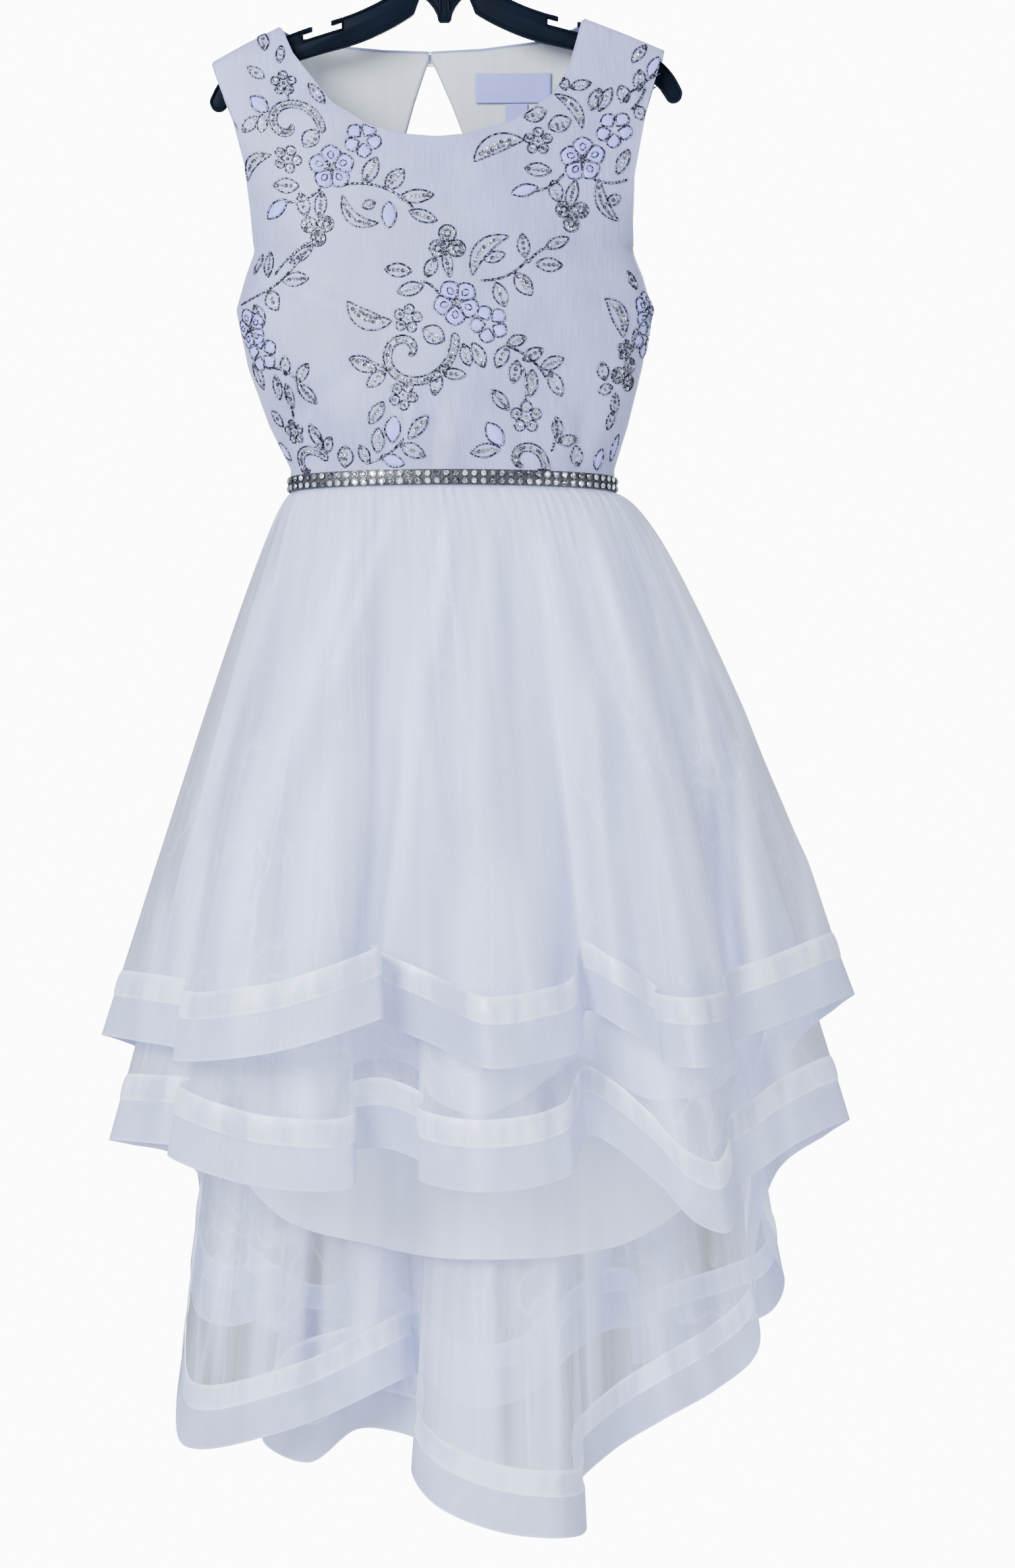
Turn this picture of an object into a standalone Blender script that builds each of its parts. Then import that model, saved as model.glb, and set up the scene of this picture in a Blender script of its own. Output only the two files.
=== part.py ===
"""Girl's sleeveless party dress with a hi-low net skirt, hanging on a moulded hanger.

Lengths are in millimetres until a mesh is written. +Z is up, +X is the viewer's right and
-Y is the front. The origin is the inside of the hook's crown, where a rod carries it.
"""

import math

import bmesh
import bpy
import numpy as np

MM = 0.001

# Cloth
WALL = 1.0  # thickness of every cloth wall
SEAM = 0.3  # gap between two pieces that are sewn together
LAYER_STEP = 1.9  # how far each skirt layer lies inside the one over it at the waist

# Waist
WAIST_HALF_WIDTH = 122.0
WAIST_HALF_DEPTH = 57.0
WAIST_CENTRE_X = 8.0
WAIST_Z = -456.3
FLARE_Z = -462.5  # below the belt, where the skirt starts to spread

# Skirt
BAND_HEIGHT = 51.0  # two-inch horsehair braid at each net hem
FLARE = 0.70  # how early the skirt spreads; a lower power spreads sooner
FLARE_RIGHT = 0.05  # the right side spreads a little sooner than the left
FOLD_FADE = (1.6, 1.15)  # how fast the hem's folds fade upwards, across and in depth
HULL_WIDTH = 70.0  # length of hem over which the folds are averaged away
GATHER_DEPTH = 1.2  # half height of the gathers below the waist
GATHER_PITCH = 5.0  # columns closer together than this at the waist have shallower gathers
GATHER_PEAK = 0.045  # share of the skirt's drop where the gathers are deepest
SAMPLES = 2  # columns of the wall in each half of a stretch of hem
NET_LEVELS = (0.0, 0.05, 0.13, 0.26, 0.5)
LINING_LEVELS = (0.0, 0.05, 0.15, 0.36, 0.68, 1.0)

# Each row is one stretch of hem that shows, left to right in front and right to left behind:
# its x at the start, middle and end, then its y, then the z of its lower edge.
# stretch, x0, x1, x2, y0, y1, y2, z0, z1, z2
OUTER_FRONT = (
    ("left wing", -254, -221, -187, -20, -57, -80, -870, -871, -875),
    ("left lap", -189, -112, -39, -106, -144, -138, -880, -870, -847),
    ("centre", -49, -7, 35, -104, -116, -166, -850, -866, -879),
    ("centre flute", 52, 77, 101, -164, -146, -127, -879, -876, -870),
    ("right slope", 106, 131, 162, -98, -127, -132, -845, -855, -874),
    ("right flute", 158, 181, 209, -150, -173, -140, -877, -878, -876),
    ("right wing", 211, 256, 309, -110, -84, -22, -867, -853, -839),
)
OUTER_BACK = (
    ("right fall", 301, 270, 248, 22, 54, 74, -853, -888, -984),
    ("right bulge", 251, 270, 261, 94, 106, 118, -1038, -1077, -1104),
    ("right lap", 233, 191, 150, 118, 112, 108, -1116, -1128, -1144),
    ("right gap", 158, 135, 108, 132, 146, 144, -1124, -1124, -1139),
    ("centre", 60, 12, -31, 134, 132, 140, -1178, -1183, -1147),
    ("left gap", -57, -78, -91, 142, 136, 122, -1128, -1119, -1131),
    ("left lap", -113, -141, -166, 110, 100, 97, -1130, -1113, -1094),
    ("left underlap", -155, -175, -198, 128, 126, 112, -1113, -1118, -1105),
    ("left fall", -201, -193, -211, 97, 84, 60, -1066, -1004, -913),
    ("left wing", -223, -236, -248, 46, 28, 4, -892, -883, -875),
)
INNER_FRONT = (
    ("left wing", -248, -220, -189, -24, -44, -62, -948, -947, -948),
    ("left lap", -195, -129, -60, -88, -120, -112, -951, -968, -969),
    ("left gap", -67, -42, -10, -84, -80, -90, -950, -946, -957),
    ("centre", -13, 35, 95, -108, -134, -114, -965, -970, -960),
    ("right slope", 108, 157, 183, -84, -118, -139, -936, -966, -991),
    ("right flute", 204, 214, 214, -138, -116, -96, -998, -985, -972),
    ("right wing", 230, 263, 305, -84, -64, -22, -963, -944, -933),
)
INNER_BACK = (
    ("right fall", 293, 257, 239, 16, 38, 52, -949, -981, -1065),
    ("right lap", 245, 215, 174, 64, 78, 84, -1124, -1157, -1182),
    ("column right", 133, 102, 111, 94, 84, 42, -1210, -1238, -1257),
    ("column front", 95, 44, -6, 14, 4, 18, -1256, -1249, -1232),
    ("column left", -25, -19, -42, 46, 84, 105, -1213, -1201, -1197),
    ("left drape", -71, -108, -144, 110, 105, 101, -1197, -1222, -1205),
    ("left underlap", -133, -81, -22, 90, 86, 82, -1180, -1161, -1146),
    ("left lap", -32, -115, -193, 63, 60, 60, -1146, -1183, -1200),
    ("left fall", -206, -195, -188, 57, 45, 38, -1192, -1074, -1022),
    ("left wing", -185, -205, -234, 26, 10, -6, -985, -963, -954),
)
LINING_FRONT = (
    ("left", -192, -156, -122, -26, -60, -76, -880, -880, -884),
    ("left scallop", -113, -95, -76, -88, -92, -88, -915, -920, -917),
    ("left gap", -68, -45, -17, -70, -62, -70, -890, -883, -890),
    ("centre scallop", -4, 33, 67, -88, -102, -92, -910, -919, -904),
    ("right gap", 88, 106, 126, -80, -72, -80, -889, -881, -897),
    ("right scallop", 151, 180, 206, -92, -92, -66, -909, -908, -903),
    ("right side", 216, 221, 220, -40, -20, 6, -898, -899, -912),
)
LINING_BACK = (
    ("right", 210, 186, 146, 26, 38, 40, -959, -1007, -1034),
    ("centre", 94, 44, -6, 14, -2, 12, -1041, -1041, -1042),
    ("left", -57, -123, -163, 40, 38, 30, -1037, -1017, -970),
    ("left side", -180, -189, -193, 16, 2, -12, -928, -901, -886),
)

# Bodice, level by level: where the side seams run, or would run above the underarm,
# and how far the front and the back stand out from the middle.
# z, left, right, front, back
BODICE_LEVELS = (
    (-456.3, -114, 130, 57, 57),
    (-444, -114, 130, 57, 57),
    (-412, -130, 140, 58, 58),
    (-368, -146, 151, 57, 57),
    (-325, -155, 159, 55, 55),
    (-300, -148, 152, 53, 53),
    (-280, -141, 144, 50, 51),
    (-250, -149, 152, 46, 49),
    (-218, -160, 163, 41, 45),
    (-184, -178, 177, 33, 39),
    (-150, -194, 194, 22, 33),
    (-121, -212, 210, 14, 29),
    (-100, -215, 207, 11, 25),
)
FRONT_LEVELS = (0, 0.035, 0.13, 0.26, 0.38, 0.5, 0.62, 0.74, 0.85, 0.93, 0.975, 0.991, 1)
BACK_LEVELS = (0, 0.035, 0.14, 0.28, 0.42, 0.54, 0.575, 0.61, 0.65, 0.72, 0.80, 0.88, 0.94, 0.975, 0.991, 1)
SEAM_TURN = math.radians(89)  # the bodice's direction at its side seams is read this close to them
BODICE_SQUARENESS = 0.3  # how much boxier than an oval the bodice gets above the waist
SQUARE_FROM = -444.0  # the top of the straight part under the belt
SQUARE_OVER = 60.0  # height over which it gets so
RIDGE_GAP = 0.3  # how far the front and the back stand apart at the shoulder seam
RIDGE_READ = 1.5  # the bodice's direction on the shoulder seam is read this far under it
SHOULDER_ROUND = 2.0  # drop over which the cloth turns over the hanger's arm

ARMHOLE_LEFT = ((-141, -280), (-143, -251), (-147, -218), (-156, -184), (-170, -148), (-173, -138))
SHOULDER_LEFT = ((-173, -138), (-147, -123.5), (-122, -111))
ARMHOLE_RIGHT = ((144, -280), (143, -262), (144, -226), (154, -172), (163, -142), (168, -129))
SHOULDER_RIGHT = ((168, -129), (137, -116), (107, -104.5))
NECK_FRONT = (
    (-122, -111), (-112, -134), (-82, -174), (-53, -193), (-27, -200), (-3, -202),
    (18, -200), (54, -189), (83, -168), (96, -146), (107, -104.5),
)
NECK_BACK_LEFT = ((-122, -111), (-82, -117), (-45, -120), (-10, -121))
NECK_BACK_RIGHT = ((107, -104.5), (72, -114), (30, -119), (-10, -121))
BACK_OPENING_X = (-10.0, 8.0)  # the centre back line at the neck and at the waist
# Half width of the keyhole at each height: z, half width
KEYHOLE = ((-121, 1.2), (-127, 1.2), (-135, 5), (-160, 15), (-183, 23), (-215, 27), (-240, 21),
           (-256, 9), (-262, 0.15))

# Belt of stones over the waist seam
BELT_HEIGHT = 11.4
BELT_BASE = 1.0
STONE_HEIGHT = 1.5
STONES_ROUND = 86

# Hanger
HANGER_TILT = math.radians(1.1)
HANGER_THICKNESS = 8.0
HANGER_BEVEL = 1.2
# Middle line of an arm, and half of its height square to the line: x, z, half height
ARM_LINE = (
    (0, -74, 11), (16, -82, 10.8), (35, -95, 10.8), (48, -102, 10.8), (68, -110.5, 10.8), (101, -119, 10.4),
    (125, -127, 9.6), (145, -136.5, 8.6), (160, -146.5, 7.6), (168, -155, 7.0), (172, -164, 6.6),
)
# Right half of the lug under the middle, up to where the arm starts: x, z
LUG = ((3.5, -106.3), (4.9, -105), (6, -100), (8.5, -95), (12.4, -90), (15, -88), (18.5, -88))
HUB = ((6.5, -65.5), (5, -60))  # right half of the top of the middle, where the hook goes in
NOTCH = (107, 78)  # ends of each trough for straps, along the arm
NOTCH_MOUTH = (100, 86)  # ends of its mouth, between the two barbs
NOTCH_DEPTH = 8.0
BARB = 3.0  # thickness of the barbs over the trough's ends
HOOK_RADIUS = 21.0  # to the middle of the wire
HOOK_WIRE = 3.6
HOOK_STEM = ((0.6, -54), (3.2, -47.5), (7.6, -41.2))  # the wire on its way to the crown: x, z
HOOK_ARC = (-50, 190)  # start and end of the crown, in degrees

# Small pieces at the back neck
BUTTON_RADIUS = 4.2
BUTTON_HEIGHT = 3.0
BUTTON_PLACE = (-9.4, -125.5)
LABEL = (25.0, 83.0, -159.0, -137.0)  # x and z limits
SIZE_TAG = (48.0, 65.0, -176.0, -159.6)


def make_material(name, colour, roughness, metallic=0.0):
    """A plain Principled surface for one sub-part."""
    material = bpy.data.materials.new(name)
    material.use_nodes = True
    shader = material.node_tree.nodes["Principled BSDF"]
    shader.inputs["Base Color"].default_value = (*colour, 1.0)
    shader.inputs["Roughness"].default_value = roughness
    shader.inputs["Metallic"].default_value = metallic
    material.diffuse_color = (*colour, 1.0)
    return material


def make_object(name, points, faces, material, sharp=50):
    """One closed mesh from points in millimetres, turned so that its faces point out."""
    mesh = bpy.data.meshes.new(name)
    mesh.from_pydata([tuple(p) for p in np.asarray(points, float) * MM], [], faces)
    mesh.validate()
    shape = bmesh.new()
    shape.from_mesh(mesh)
    if shape.calc_volume(signed=True) < 0:
        bmesh.ops.reverse_faces(shape, faces=shape.faces[:])
    shape.to_mesh(mesh)
    shape.free()
    mesh.shade_smooth()
    mesh.set_sharp_from_angle(angle=math.radians(sharp))
    piece = bpy.data.objects.new(name, mesh)
    piece.data.materials.append(material)
    bpy.context.scene.collection.objects.link(piece)
    return piece


def unit(vectors):
    """The vectors at length 1."""
    return vectors / np.linalg.norm(vectors, axis=-1, keepdims=True)


def ring_normals(rings):
    """Outward directions of the wall through a stack of closed rings."""
    around = np.roll(rings, -1, axis=1) - np.roll(rings, 1, axis=1)
    return unit(np.cross(np.gradient(rings, axis=0), around))


def two_faces(middle, normal):
    """Outer and inner points of a wall of cloth about its middle surface."""
    return np.stack([middle + normal * WALL / 2, middle - normal * WALL / 2])


def wall(name, faces_of_wall, material):
    """A closed wall between its outer and inner grids, each cell cut across its short diagonal."""
    rows, columns = faces_of_wall.shape[1:3]
    middle = faces_of_wall.mean(axis=0)
    falling = np.linalg.norm(middle[1:, 1:] - middle[:-1, :-1], axis=2)
    rising = np.linalg.norm(middle[1:, :-1] - middle[:-1, 1:], axis=2)
    inner = rows * columns
    number = np.arange(inner).reshape(rows, columns)
    faces = []
    for r in range(rows - 1):
        for c in range(columns - 1):
            a, b, d, e = number[r, c], number[r, c + 1], number[r + 1, c + 1], number[r + 1, c]
            cut = [(a, b, d), (a, d, e)] if falling[r, c] < rising[r, c] else [(a, b, e), (b, d, e)]
            faces += cut + [(i + inner, k + inner, j + inner) for i, j, k in cut]
    rim = [*number[0, :], *number[1:, -1], *number[-1, -2::-1], *number[-2:0:-1, 0]]
    for a, b in zip(rim, rim[1:] + rim[:1]):
        if a < b:
            faces += [(b, a, b + inner), (a, a + inner, b + inner)]
        else:
            faces += [(b, a, a + inner), (b, a + inner, b + inner)]
    points = faces_of_wall.reshape(-1, 3)
    return make_object(name, points, [tuple(int(i) for i in f) for f in faces], material)


def hem_points(rows):
    """The start, middle and end of every stretch of hem, in order."""
    table = np.array([row[1:] for row in rows], float)
    return table.reshape(-1, 3, 3).transpose(0, 2, 1).reshape(-1, 3)


def closed_curve(points, samples):
    """A smooth closed curve through the points, with centripetal Catmull-Rom tangents."""
    ring = np.vstack([points[-1], points, points[:2]])
    step = np.linalg.norm(np.diff(ring, axis=0), axis=1) ** 0.5
    curve = []
    for i in range(len(points)):
        p0, p1, p2, p3 = ring[i:i + 4]
        a, b, c = step[i:i + 3]
        start = ((p1 - p0) / a - (p2 - p0) / (a + b) + (p2 - p1) / b) * b
        end = ((p2 - p1) / b - (p3 - p1) / (b + c) + (p3 - p2) / c) * b
        t = (np.arange(samples) / samples)[:, None]
        curve.append(
            (2 * t**3 - 3 * t**2 + 1) * p1 + (t**3 - 2 * t**2 + t) * start
            + (3 * t**2 - 2 * t**3) * p2 + (t**3 - t**2) * end
        )
    return np.vstack(curve)


def run_lengths(curve):
    """Length of each segment of a closed curve, and the distance of each point along it."""
    segment = np.linalg.norm(np.roll(curve, -1, axis=0) - curve, axis=1)
    return segment, np.cumsum(segment) - segment


def waist_turns(curve, side):
    """Each column's turn about the waist: -90 degrees at the left side seam, 90 at the right."""
    segment, along = run_lengths(curve)
    total = segment.sum()
    front = -90 + 180 * along / along[side]
    back = 90 + 180 * (along - along[side]) / (total - along[side])
    return np.radians(np.where(along <= along[side], front, back))


def averaged(curve, width):
    """The closed curve with its folds averaged away over a length of hem."""
    segment, along = run_lengths(curve)
    total = segment.sum()
    gap = (along[:, None] - along[None, :] + total / 2) % total - total / 2
    weight = np.exp(-0.5 * (gap / width) ** 2) * (segment + np.roll(segment, 1))[None, :]
    return weight @ curve / weight.sum(axis=1, keepdims=True)


class SkirtLayer:
    """One layer of the skirt, as a surface from the waist down to its folded hem."""

    def __init__(self, front, back, depth):
        self.hem = closed_curve(np.vstack([hem_points(front), hem_points(back)]), SAMPLES)
        self.side = (3 * len(front) - 1) * SAMPLES
        self.turn = waist_turns(self.hem, self.side)
        self.waist = np.stack([
            WAIST_CENTRE_X + (WAIST_HALF_WIDTH - depth) * np.sin(self.turn),
            -(WAIST_HALF_DEPTH - depth) * np.cos(self.turn),
        ], axis=1)
        self.hull = averaged(self.hem, HULL_WIDTH)[:, :2]
        top = np.column_stack([self.waist, np.full(len(self.waist), FLARE_Z)])
        self.drop = np.linalg.norm(self.hem - top, axis=1)

    def ring(self, level):
        """The layer's section at a share of its drop: one for each column, or one for all."""
        level = np.broadcast_to(level, self.turn.shape)[:, None]
        power = (FLARE - FLARE_RIGHT * np.sin(self.turn))[:, None]
        plan = self.waist + level**power * (self.hull - self.waist)
        plan = plan + level ** np.array(FOLD_FADE) * (self.hem[:, :2] - self.hull)
        away = self.hull - (WAIST_CENTRE_X, 0)
        away = away / np.linalg.norm(away, axis=1, keepdims=True)
        swell = level / GATHER_PEAK * np.exp(1 - level / GATHER_PEAK)
        spacing = np.linalg.norm(np.roll(self.waist, -1, axis=0) - self.waist, axis=1)
        share = np.minimum(spacing / GATHER_PITCH, 1)
        sign = np.where(np.arange(len(plan)) % 2, share, -share)[:, None]
        plan = plan + away * swell * sign * GATHER_DEPTH
        z = FLARE_Z + level[:, 0] * (self.hem[:, 2] - FLARE_Z)
        return np.column_stack([plan, z])

    def top_ring(self):
        """The straight edge under the belt."""
        return np.column_stack([self.waist, np.full(len(self.waist), WAIST_Z - SEAM)])

    def band_level(self):
        """The share of the drop at which the hem band starts."""
        return 1 - BAND_HEIGHT / self.drop

    def halves(self, faces_of_wall):
        """The wall cut at the two side seams: the front and the back, half a seam gap short."""
        front = faces_of_wall[:, :, :self.side + 1].copy()
        back = np.concatenate([faces_of_wall[:, :, self.side:], faces_of_wall[:, :, :1]], axis=2)
        for part in (front, back):
            for end, beside in ((0, 1), (-1, -2)):
                step = part[:, :, beside] - part[:, :, end]
                part[:, :, end] += step * (SEAM / 2) / np.linalg.norm(step, axis=2, keepdims=True)
        return ("front", front), ("back", back)


def build_net_layer(name, front, back, depth, net_colour, band_colour):
    """A gathered net layer and the horsehair band along its hem, each in front and back halves."""
    layer = SkirtLayer(front, back, depth)
    band = layer.band_level()
    gap = SEAM / 2 / layer.drop
    rings = [layer.top_ring()] + [layer.ring(level * band) for level in NET_LEVELS]
    rings += [layer.ring(band - gap), layer.ring(band + gap), layer.ring(1.0)]
    rings = np.stack(rings)
    normal = ring_normals(rings)
    normal[-3:-1] = unit(normal[-3:-1].sum(axis=0))
    cloth = two_faces(rings, normal)
    net_material = make_material(name + "_net", net_colour, 0.7)
    band_material = make_material(name + "_band", band_colour, 0.4)
    for side, part in layer.halves(cloth[:, :-2]):
        wall(f"net_{name}_{side}", part, net_material)
    for side, part in layer.halves(cloth[:, -2:]):
        wall(f"band_{name}_{side}", part, band_material)


def build_skirt_lining():
    """The opaque lining of the skirt, shorter in front than behind."""
    layer = SkirtLayer(LINING_FRONT, LINING_BACK, 2 * LAYER_STEP)
    rings = np.stack([layer.top_ring()] + [layer.ring(level) for level in LINING_LEVELS])
    material = make_material("skirt_lining", (0.86, 0.88, 0.94), 0.6)
    for side, part in layer.halves(two_faces(rings, ring_normals(rings))):
        wall(f"skirt_lining_{side}", part, material)


def bodice_level(z):
    """Middle, half width, front depth and back depth of the bodice at each height."""
    table = np.array(BODICE_LEVELS, float)
    left, right, front, back = [np.interp(z, table[:, 0], table[:, k]) for k in range(1, 5)]
    return (left + right) / 2, (right - left) / 2, front, back


def bodice_turn(x, z):
    """The turn about the body of a point at x and z: -90 degrees at the left side seam."""
    middle, half = bodice_level(z)[:2]
    return np.arcsin(np.clip((x - middle) / half, -1, 1))


def shoulder_height(x):
    """Height of the shoulder line over each x, straight across the neck."""
    line = np.array(SHOULDER_LEFT + SHOULDER_RIGHT[::-1], float)
    return np.interp(x, line[:, 0], line[:, 1])


def bodice_surface(turn, z, back=False):
    """The bodice at each turn and height: a boxy oval, folded over the arm at the shoulder."""
    middle, half, front_depth, back_depth = bodice_level(z)
    across = np.abs(np.sin(turn))
    power = 2 + BODICE_SQUARENESS * np.clip((z - SQUARE_FROM) / SQUARE_OVER, 0, 1)
    rounding = np.maximum(1 - across**power, 0) ** (1 / power)
    x = middle + half * np.sin(turn)
    below = np.maximum(shoulder_height(x) - z, 0)
    over_arm = np.sqrt(1 - np.exp(-below / SHOULDER_ROUND))
    depth = (back_depth if back else front_depth) * rounding * over_arm
    depth = np.maximum(depth, SEAM / 2 + RIDGE_GAP * (1 - over_arm))
    return np.stack([x, depth if back else -depth, z], axis=-1)


def bodice_normal(turn, z, back=False):
    """Outward directions of the bodice, from small steps about the body and down it."""
    ridge = shoulder_height(bodice_surface(turn, z)[..., 0])
    z = np.minimum(z, ridge - RIDGE_READ)
    turn = np.clip(turn, -SEAM_TURN, SEAM_TURN)
    around = bodice_surface(turn + 0.01, z, back) - bodice_surface(turn - 0.01, z, back)
    down = bodice_surface(turn, z - 0.5, back) - bodice_surface(turn, z + 0.1, back)
    return unit(np.cross(around, down)) * (1 if back else -1)


def along_outline(points, count, near_ends=None):
    """count + 1 points spaced evenly along an outline, and one more at a share of it from each end."""
    points = np.array(points, float)
    distance = np.concatenate([[0], np.cumsum(np.linalg.norm(np.diff(points, axis=0), axis=1))])
    share = np.linspace(0, 1, count + 1)
    if near_ends:
        share = np.sort([*share, near_ends, 1 - near_ends])
    at = share * distance[-1]
    return np.column_stack([np.interp(at, distance, points[:, k]) for k in range(2)])


def joined(*stretches):
    """Outlines end to end, without the points that they share."""
    return np.vstack([stretches[0]] + [part[1:] for part in stretches[1:]])


def back_edge(side, z):
    """The turn of the centre back edge at each height, with half of the keyhole cut away."""
    hole = np.array(KEYHOLE, float)[::-1]
    share = (z - WAIST_Z) / (NECK_BACK_LEFT[-1][1] - WAIST_Z)
    middle = BACK_OPENING_X[1] + share * (BACK_OPENING_X[0] - BACK_OPENING_X[1])
    half = np.maximum(np.interp(z, hole[:, 0], hole[:, 1]), SEAM / 2)
    return bodice_turn(middle + side * half, z)


def front_panel():
    """Turns and heights of the front, from side seam to side seam and waist to neck."""
    top = joined(
        along_outline(ARMHOLE_LEFT, 5), along_outline(SHOULDER_LEFT, 3), along_outline(NECK_FRONT, 12, 0.02),
        along_outline(SHOULDER_RIGHT[::-1], 3), along_outline(ARMHOLE_RIGHT[::-1], 5),
    )
    bottom = np.linspace(-math.pi / 2, math.pi / 2, len(top))
    level = np.array(FRONT_LEVELS)[::-1, None]
    z = WAIST_Z + level * (top[:, 1] - WAIST_Z)
    return bottom + level * (bodice_turn(top[:, 0], top[:, 1]) - bottom), z


def back_panel(side):
    """Turns and heights of one back, from its side seam to the keyhole; side is -1 or 1."""
    armhole = ARMHOLE_LEFT if side < 0 else ARMHOLE_RIGHT
    shoulder = SHOULDER_LEFT if side < 0 else SHOULDER_RIGHT
    neck = NECK_BACK_LEFT if side < 0 else NECK_BACK_RIGHT
    top = joined(along_outline(armhole, 4), along_outline(shoulder, 2), along_outline(neck, 5))
    bottom = np.linspace(side * math.pi / 2, back_edge(side, WAIST_Z), len(top))
    level = np.array(BACK_LEVELS)[::-1, None]
    z = WAIST_Z + level * (top[:, 1] - WAIST_Z)
    turn = bottom + level * (bodice_turn(top[:, 0], top[:, 1]) - bottom)
    bend = back_edge(side, z[:, -1]) - turn[:, -1]
    turn += np.linspace(0, 1, len(top)) ** 2 * bend[:, None]
    return turn, z


def bodice_wall(name, turn, z, back, depth, material):
    """A wall of cloth that lies a given depth under the bodice's surface."""
    normal = bodice_normal(turn, z, back)
    wall(name, two_faces(bodice_surface(turn, z, back) - depth * normal, normal), material)


def build_bodice():
    """The front, the two backs with the keyhole between them, and their lining at the back."""
    cloth = make_material("bodice", (0.86, 0.88, 0.95), 0.55)
    lining = make_material("bodice_lining", (0.86, 0.87, 0.86), 0.6)
    bodice_wall("bodice_front", *front_panel(), False, 0, cloth)
    for side, word in ((-1, "left"), (1, "right")):
        turn, z = back_panel(side)
        bodice_wall(f"bodice_back_{word}", turn, z, True, 0, cloth)
        bodice_wall(f"back_lining_{word}", turn[1:], z[1:], True, WALL + SEAM, lining)


def build_label(name, limits, material):
    """A woven label lying on the back lining."""
    x0, x1, z0, z1 = limits
    x, z = np.meshgrid(np.linspace(x0, x1, 5), np.linspace(z1, z0, 3))
    bodice_wall(name, bodice_turn(x, z), z, True, 2 * (WALL + SEAM), material)


def build_belt():
    """A band round the waist seam, with two rows of cut stones raised on its outside."""
    turn = np.linspace(0, 2 * math.pi, STONES_ROUND, endpoint=False)
    half = math.pi / STONES_ROUND
    inside = WALL / 2 + SEAM

    def ring(angle, out, z):
        return np.column_stack([
            WAIST_CENTRE_X + (WAIST_HALF_WIDTH + out) * np.sin(angle),
            -(WAIST_HALF_DEPTH + out) * np.cos(angle), np.full(len(angle), z),
        ])

    middle = WAIST_Z - SEAM / 2
    heights = (middle + BELT_HEIGHT / 2, middle, middle - BELT_HEIGHT / 2)
    outer = [ring(turn, inside + BELT_BASE, z) for z in heights]
    tips = [ring(turn + half, inside + BELT_BASE + STONE_HEIGHT, z) for z in
            (middle + BELT_HEIGHT / 4, middle - BELT_HEIGHT / 4)]
    inner = [ring(turn, inside, z) for z in (heights[0], heights[2])]
    points = np.vstack(outer + tips + inner)
    n = STONES_ROUND
    faces = []
    for c in range(n):
        d = (c + 1) % n
        for row in (0, 1):
            a, b = row * n + c, row * n + d
            e, f = a + n, b + n
            tip = (3 + row) * n + c
            faces += [(a, b, tip), (b, f, tip), (f, e, tip), (e, a, tip)]
        faces.append((5 * n + d, 5 * n + c, 6 * n + c, 6 * n + d))
        faces.append((c, 5 * n + c, 5 * n + d, d))
        faces.append((2 * n + d, 6 * n + d, 6 * n + c, 2 * n + c))
    make_object("belt", points, faces, make_material("belt", (0.78, 0.79, 0.82), 0.2, 0.6), sharp=20)


def tilted(points):
    """Points of the hanger turned by its small tilt about the hook."""
    c, s = math.cos(HANGER_TILT), math.sin(HANGER_TILT)
    x, z = points[:, 0].copy(), points[:, 2].copy()
    points[:, 0] = c * x - s * z
    points[:, 2] = s * x + c * z
    return points


def arm_outline():
    """Half of the hanger's outline: round the lug, along the lower edge, round the tip and back on top."""
    line = np.array(ARM_LINE, float)
    along = np.concatenate([[0], np.cumsum(np.linalg.norm(np.diff(line[:, :2], axis=0), axis=1))])
    at = np.linspace(0, along[-1], 14)
    centre = np.column_stack([np.interp(at, along, line[:, k]) for k in range(2)])
    half = np.interp(at, along, line[:, 2])[:, None]
    ahead = unit(np.gradient(centre, axis=0))
    rise = np.column_stack([-ahead[:, 1], ahead[:, 0]])
    lower, upper = centre - rise * half, (centre + rise * half)[::-1]
    tip = math.atan2(ahead[-1, 1], ahead[-1, 0])
    cap = [centre[-1] + half[-1] * np.array([math.cos(tip + t), math.sin(tip + t)])
           for t in np.radians((-54, -18, 18, 54))]

    def top(x, below):
        return x, float(np.interp(x, upper[::-1, 0], upper[::-1, 1])) - below

    trough = [top(NOTCH_MOUTH[0], 0), top(NOTCH_MOUTH[0], BARB), top(NOTCH[0], BARB), top(NOTCH[0], NOTCH_DEPTH),
              top(NOTCH[1], NOTCH_DEPTH), top(NOTCH[1], BARB), top(NOTCH_MOUTH[1], BARB), top(NOTCH_MOUTH[1], 0)]
    outline = [*LUG, *(p for p in lower if p[0] > LUG[-1][0] + 2), *cap]
    outline += [p for p in upper if p[0] > NOTCH_MOUTH[0] + 2] + trough
    outline += [p for p in upper if HUB[0][0] < p[0] < NOTCH_MOUTH[1] - 2]
    return [(float(x), float(z)) for x, z in (*outline, *HUB)]


def extruded(name, outline, thickness, bevel, material):
    """A flat outline in the XZ plane made solid about y = 0, with its edges rounded."""
    shape = bmesh.new()
    corners = [shape.verts.new((x, -thickness / 2, z)) for x, z in outline]
    face = shape.faces.new(corners)
    solid = bmesh.ops.extrude_face_region(shape, geom=[face])
    moved = [v for v in solid["geom"] if isinstance(v, bmesh.types.BMVert)]
    bmesh.ops.translate(shape, verts=moved, vec=(0, thickness, 0))
    bmesh.ops.recalc_face_normals(shape, faces=shape.faces[:])
    rims = [e for e in shape.edges if abs(e.verts[0].co.y - e.verts[1].co.y) < 1e-6]
    bmesh.ops.bevel(shape, geom=rims, offset=bevel, segments=1, affect="EDGES", clamp_overlap=True)
    points = tilted(np.array([v.co[:] for v in shape.verts]))
    shape.verts.index_update()
    faces = [tuple(v.index for v in f.verts) for f in shape.faces]
    shape.free()
    return make_object(name, points, faces, material, sharp=35)


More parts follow.
